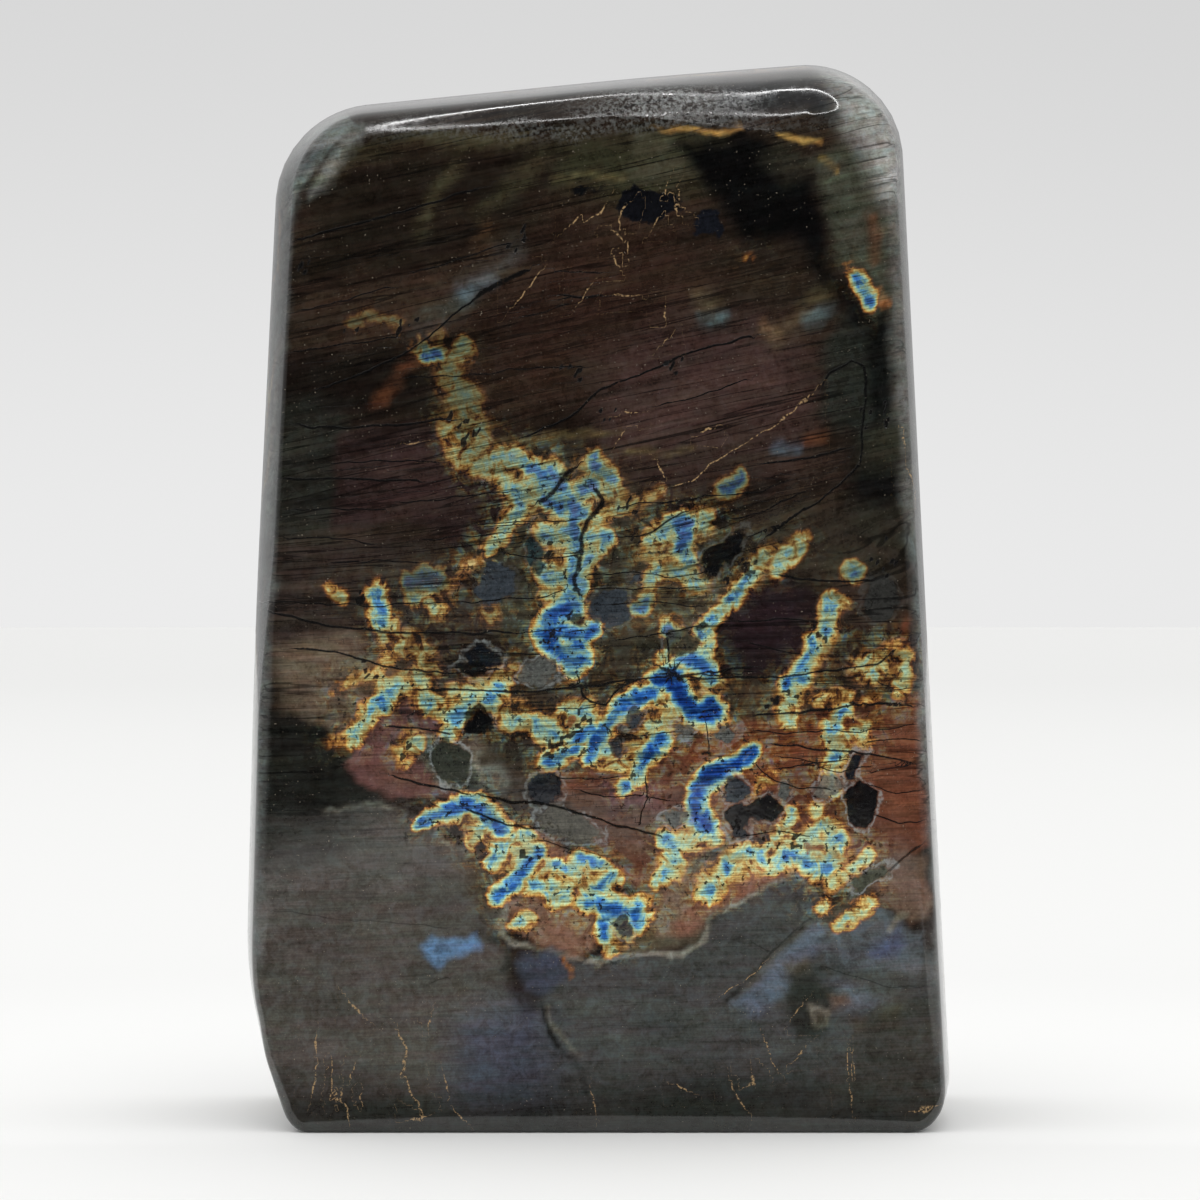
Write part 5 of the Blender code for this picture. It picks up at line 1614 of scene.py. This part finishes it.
def card_material():
    """Dull near-black card."""
    material = bpy.data.materials.new("dark card")
    material.use_nodes = True
    shader = material.node_tree.nodes["Principled BSDF"]
    shader.inputs["Base Color"].default_value = (0.01, 0.01, 0.01, 1.0)
    shader.inputs["Roughness"].default_value = 0.9
    return material


def floor_material(stage):
    """The pale sweep, lighter at the stone's foot as painted light against its shadow, and a little darker
    far off so that it meets the backdrop.
    """
    material = bpy.data.materials.new("pale sweep")
    material.use_nodes = True
    nodes = Nodes(material.node_tree)
    shader = material.node_tree.nodes["Principled BSDF"]
    place = nodes.add("ShaderNodeTexCoord", None, None, "Object")
    distance = nodes.add("ShaderNodeVectorMath", {"operation": "LENGTH"}, {0: place}, 1)
    foot, near, far = ((*(part * share for part in stage.floor_colour), 1.0) for share in FLOOR_SHARES)
    # Painted light: the floor is lighter close to the stone's foot, where the stone's shadow falls.
    close = nodes.mix(distance.between(0.08, 0.32), foot, near)
    nodes.connect(shader.inputs["Base Color"], nodes.mix(distance.between(0.1, 4.5), close, far))
    shader.inputs["Roughness"].default_value = 0.7
    shader.inputs["Specular IOR Level"].default_value = 0.1
    return material


def glow_material(strength):
    """White light of this strength and no reflection of its own."""
    material = bpy.data.materials.new("bead glow")
    material.use_nodes = True
    shader = material.node_tree.nodes["Principled BSDF"]
    shader.inputs["Base Color"].default_value = (0, 0, 0, 1)
    shader.inputs["Emission Color"].default_value = (1, 1, 1, 1)
    shader.inputs["Emission Strength"].default_value = strength
    return material


def light_the_world(stage):
    """A pale room, brighter overhead and dark behind the camera, with a soft falling-off behind the stone."""
    world = bpy.data.worlds.new("studio")
    bpy.context.scene.world = world
    world.use_nodes = True
    nodes = Nodes(world.node_tree)
    background = world.node_tree.nodes["Background"]
    direction_seen = nodes.add("ShaderNodeTexCoord", None, None, "Generated")
    across = nodes.add("ShaderNodeSeparateXYZ", None, {0: direction_seen}, 0)
    away = nodes.add("ShaderNodeSeparateXYZ", None, {0: direction_seen}, 1)
    rise = nodes.add("ShaderNodeSeparateXYZ", None, {0: direction_seen}, 2)
    seen = nodes.add("ShaderNodeLightPath", None, None, "Is Camera Ray")
    scattered = nodes.add("ShaderNodeLightPath", None, None, "Is Diffuse Ray")
    frontal = 0.0 - away
    overhead = rise.between(0.0, 0.8) * OVERHEAD_LIGHT
    lighting = (ROOM_LIGHT + overhead + frontal.between(0.0, 0.9) * FRONT_LIGHT) * stage.light
    behind_camera = frontal.between(0.70, 0.93)
    backwards = away.between(-0.2, 0.9)
    high_up = backwards * rise.between(0.1, 0.5) * MIRRORED_HIGH
    mirrored = (MIRRORED_ROOM + backwards * MIRRORED_BEHIND + high_up) * stage.light
    mirrored = mirrored * (1 - behind_camera) + DARK_SIDE * behind_camera
    rise_share = (rise / TOP_OF_PICTURE).between(-0.1, 1.2)
    backdrop = HORIZON_LIGHT - rise_share * (HORIZON_LIGHT - TOP_OF_PICTURE_LIGHT)
    backdrop = backdrop - across.between(0.0, 0.16) * DARKER_RIGHT
    strength = backdrop * seen + lighting * scattered + mirrored * (1 - seen - scattered)
    nodes.connect(background.inputs["Strength"], strength)
    background.inputs["Color"].default_value = (1, 1, 1, 1)


def add_to_scene(name, mesh, material):
    """A new piece at the origin with this mesh and material."""
    mesh.materials.append(material)
    piece = bpy.data.objects.new(name, mesh)
    bpy.context.scene.collection.objects.link(piece)
    return piece


def show_only_in_mirrors(piece):
    """Hides a piece from the camera and from dull surfaces, and takes away its shadow."""
    piece.visible_camera = False
    piece.visible_diffuse = False
    piece.visible_shadow = False


# Properties, operators and the panel


class LabradoriteStone(bpy.types.PropertyGroup):
    front_crown: FloatProperty(
        name="Front crown", description="How far the middle of the front stands out",
        default=FRONT_CROWN * MM, min=0.0, max=0.004, subtype="DISTANCE", unit="LENGTH",
    )
    back_crown: FloatProperty(
        name="Back crown", description="How far the middle of the back stands out",
        default=BACK_CROWN * MM, min=0.0, max=0.006, subtype="DISTANCE", unit="LENGTH",
    )
    ground_gain: FloatProperty(
        name="Ground", description="How light the dull ground is", default=1.08, min=0.0, max=4.0,
    )
    flash_gain: FloatProperty(
        name="Flash", description="How bright the flash is", default=1.05, min=0.0, max=4.0,
    )
    crack_darkness: FloatProperty(
        name="Cracks", description="How dark the cracks are", default=0.93, min=0.0, max=1.0,
        subtype="FACTOR",
    )
    polish: FloatProperty(
        name="Polish", description="Roughness of the polished faces", default=0.04, min=0.0, max=1.0,
        subtype="FACTOR",
    )


class LabradoriteStage(bpy.types.PropertyGroup):
    floor_colour: FloatVectorProperty(
        name="Floor", description="Colour of the sweep that the stone stands on", subtype="COLOR",
        default=(0.9, 0.9, 0.89), min=0.0, max=1.0,
    )
    light: FloatProperty(
        name="Light", description="Brightness of the room round the stone", default=1.0, min=0.0, max=5.0,
    )
    distance: FloatProperty(
        name="Camera distance", description="How far in front of the stone's middle the camera stands",
        default=0.775, min=0.3, max=5.0, subtype="DISTANCE", unit="LENGTH",
    )
    camera_height: FloatProperty(
        name="Camera height", description="Height of the level camera", default=0.0883, min=0.0, max=1.0,
        subtype="DISTANCE", unit="LENGTH",
    )
    camera_side: FloatProperty(
        name="Camera side", description="How far the camera stands to the right of the middle",
        default=0.00025, min=-0.5, max=0.5, subtype="DISTANCE", unit="LENGTH",
    )
    lens: FloatProperty(
        name="Lens", description="Focal length on a sensor 36 mm wide", default=135.0, min=20.0, max=400.0,
        subtype="DISTANCE_CAMERA", unit="CAMERA",
    )


class OBJECT_OT_labradorite_stone(bpy.types.Operator):
    """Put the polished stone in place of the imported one"""

    bl_idname = "object.labradorite_stone"
    bl_label = "Labradorite Stone"

    def execute(self, context):
        look = context.scene.labradorite_stone
        stone = add_to_scene("labradorite_freeform", stone_mesh(look), stone_material(look))
        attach(stone, "root")
        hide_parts(NODE)
        return {"FINISHED"}


class OBJECT_OT_labradorite_stage(bpy.types.Operator):
    """Lay the pale sweep, light the room and stand the camera in front"""

    bl_idname = "object.labradorite_stage"
    bl_label = "Labradorite Stage"

    def execute(self, context):
        stage = context.scene.labradorite_stage
        add_to_scene("pale_sweep", floor_mesh(), floor_material(stage))
        card = add_to_scene("dark_card", card_mesh(), card_material())
        show_only_in_mirrors(card)
        ring = add_to_scene("ring_light", ring_mesh(), glow_material(RING_LIGHT))
        show_only_in_mirrors(ring)
        light_the_world(stage)
        camera = bpy.data.objects.new("camera", bpy.data.cameras.new("camera"))
        context.scene.collection.objects.link(camera)
        camera.data.lens = stage.lens
        camera.data.sensor_width = SENSOR_WIDTH
        camera.data.clip_end = SEEN_AS_FAR_AS
        camera.location = (stage.camera_side, -stage.distance, stage.camera_height)
        camera.rotation_euler = (np.radians(90), 0, 0)
        context.scene.camera = camera
        context.scene.view_settings.view_transform = "Standard"
        return {"FINISHED"}


class VIEW3D_PT_labradorite(bpy.types.Panel):
    bl_label = "Labradorite"
    bl_idname = "VIEW3D_PT_labradorite"
    bl_space_type = "VIEW_3D"
    bl_region_type = "UI"
    bl_category = "Labradorite"

    def draw(self, context):
        for group, operator in (
            (context.scene.labradorite_stone, OBJECT_OT_labradorite_stone),
            (context.scene.labradorite_stage, OBJECT_OT_labradorite_stage),
        ):
            box = self.layout.box()
            for name in group.bl_rna.properties.keys():
                if name not in ("rna_type", "name"):
                    box.prop(group, name)
            box.operator(operator.bl_idname)


CLASSES = (
    LabradoriteStone,
    LabradoriteStage,
    OBJECT_OT_labradorite_stone,
    OBJECT_OT_labradorite_stage,
    VIEW3D_PT_labradorite,
)


def register():
    for kind in CLASSES:
        bpy.utils.register_class(kind)
    bpy.types.Scene.labradorite_stone = PointerProperty(type=LabradoriteStone)
    bpy.types.Scene.labradorite_stage = PointerProperty(type=LabradoriteStage)


def unregister():
    del bpy.types.Scene.labradorite_stage
    del bpy.types.Scene.labradorite_stone
    for kind in reversed(CLASSES):
        bpy.utils.unregister_class(kind)


def main():
    """Makes the stone and its stage."""
    register()
    bpy.ops.object.labradorite_stone()
    bpy.ops.object.labradorite_stage()


if __name__ == "__main__":
    main()
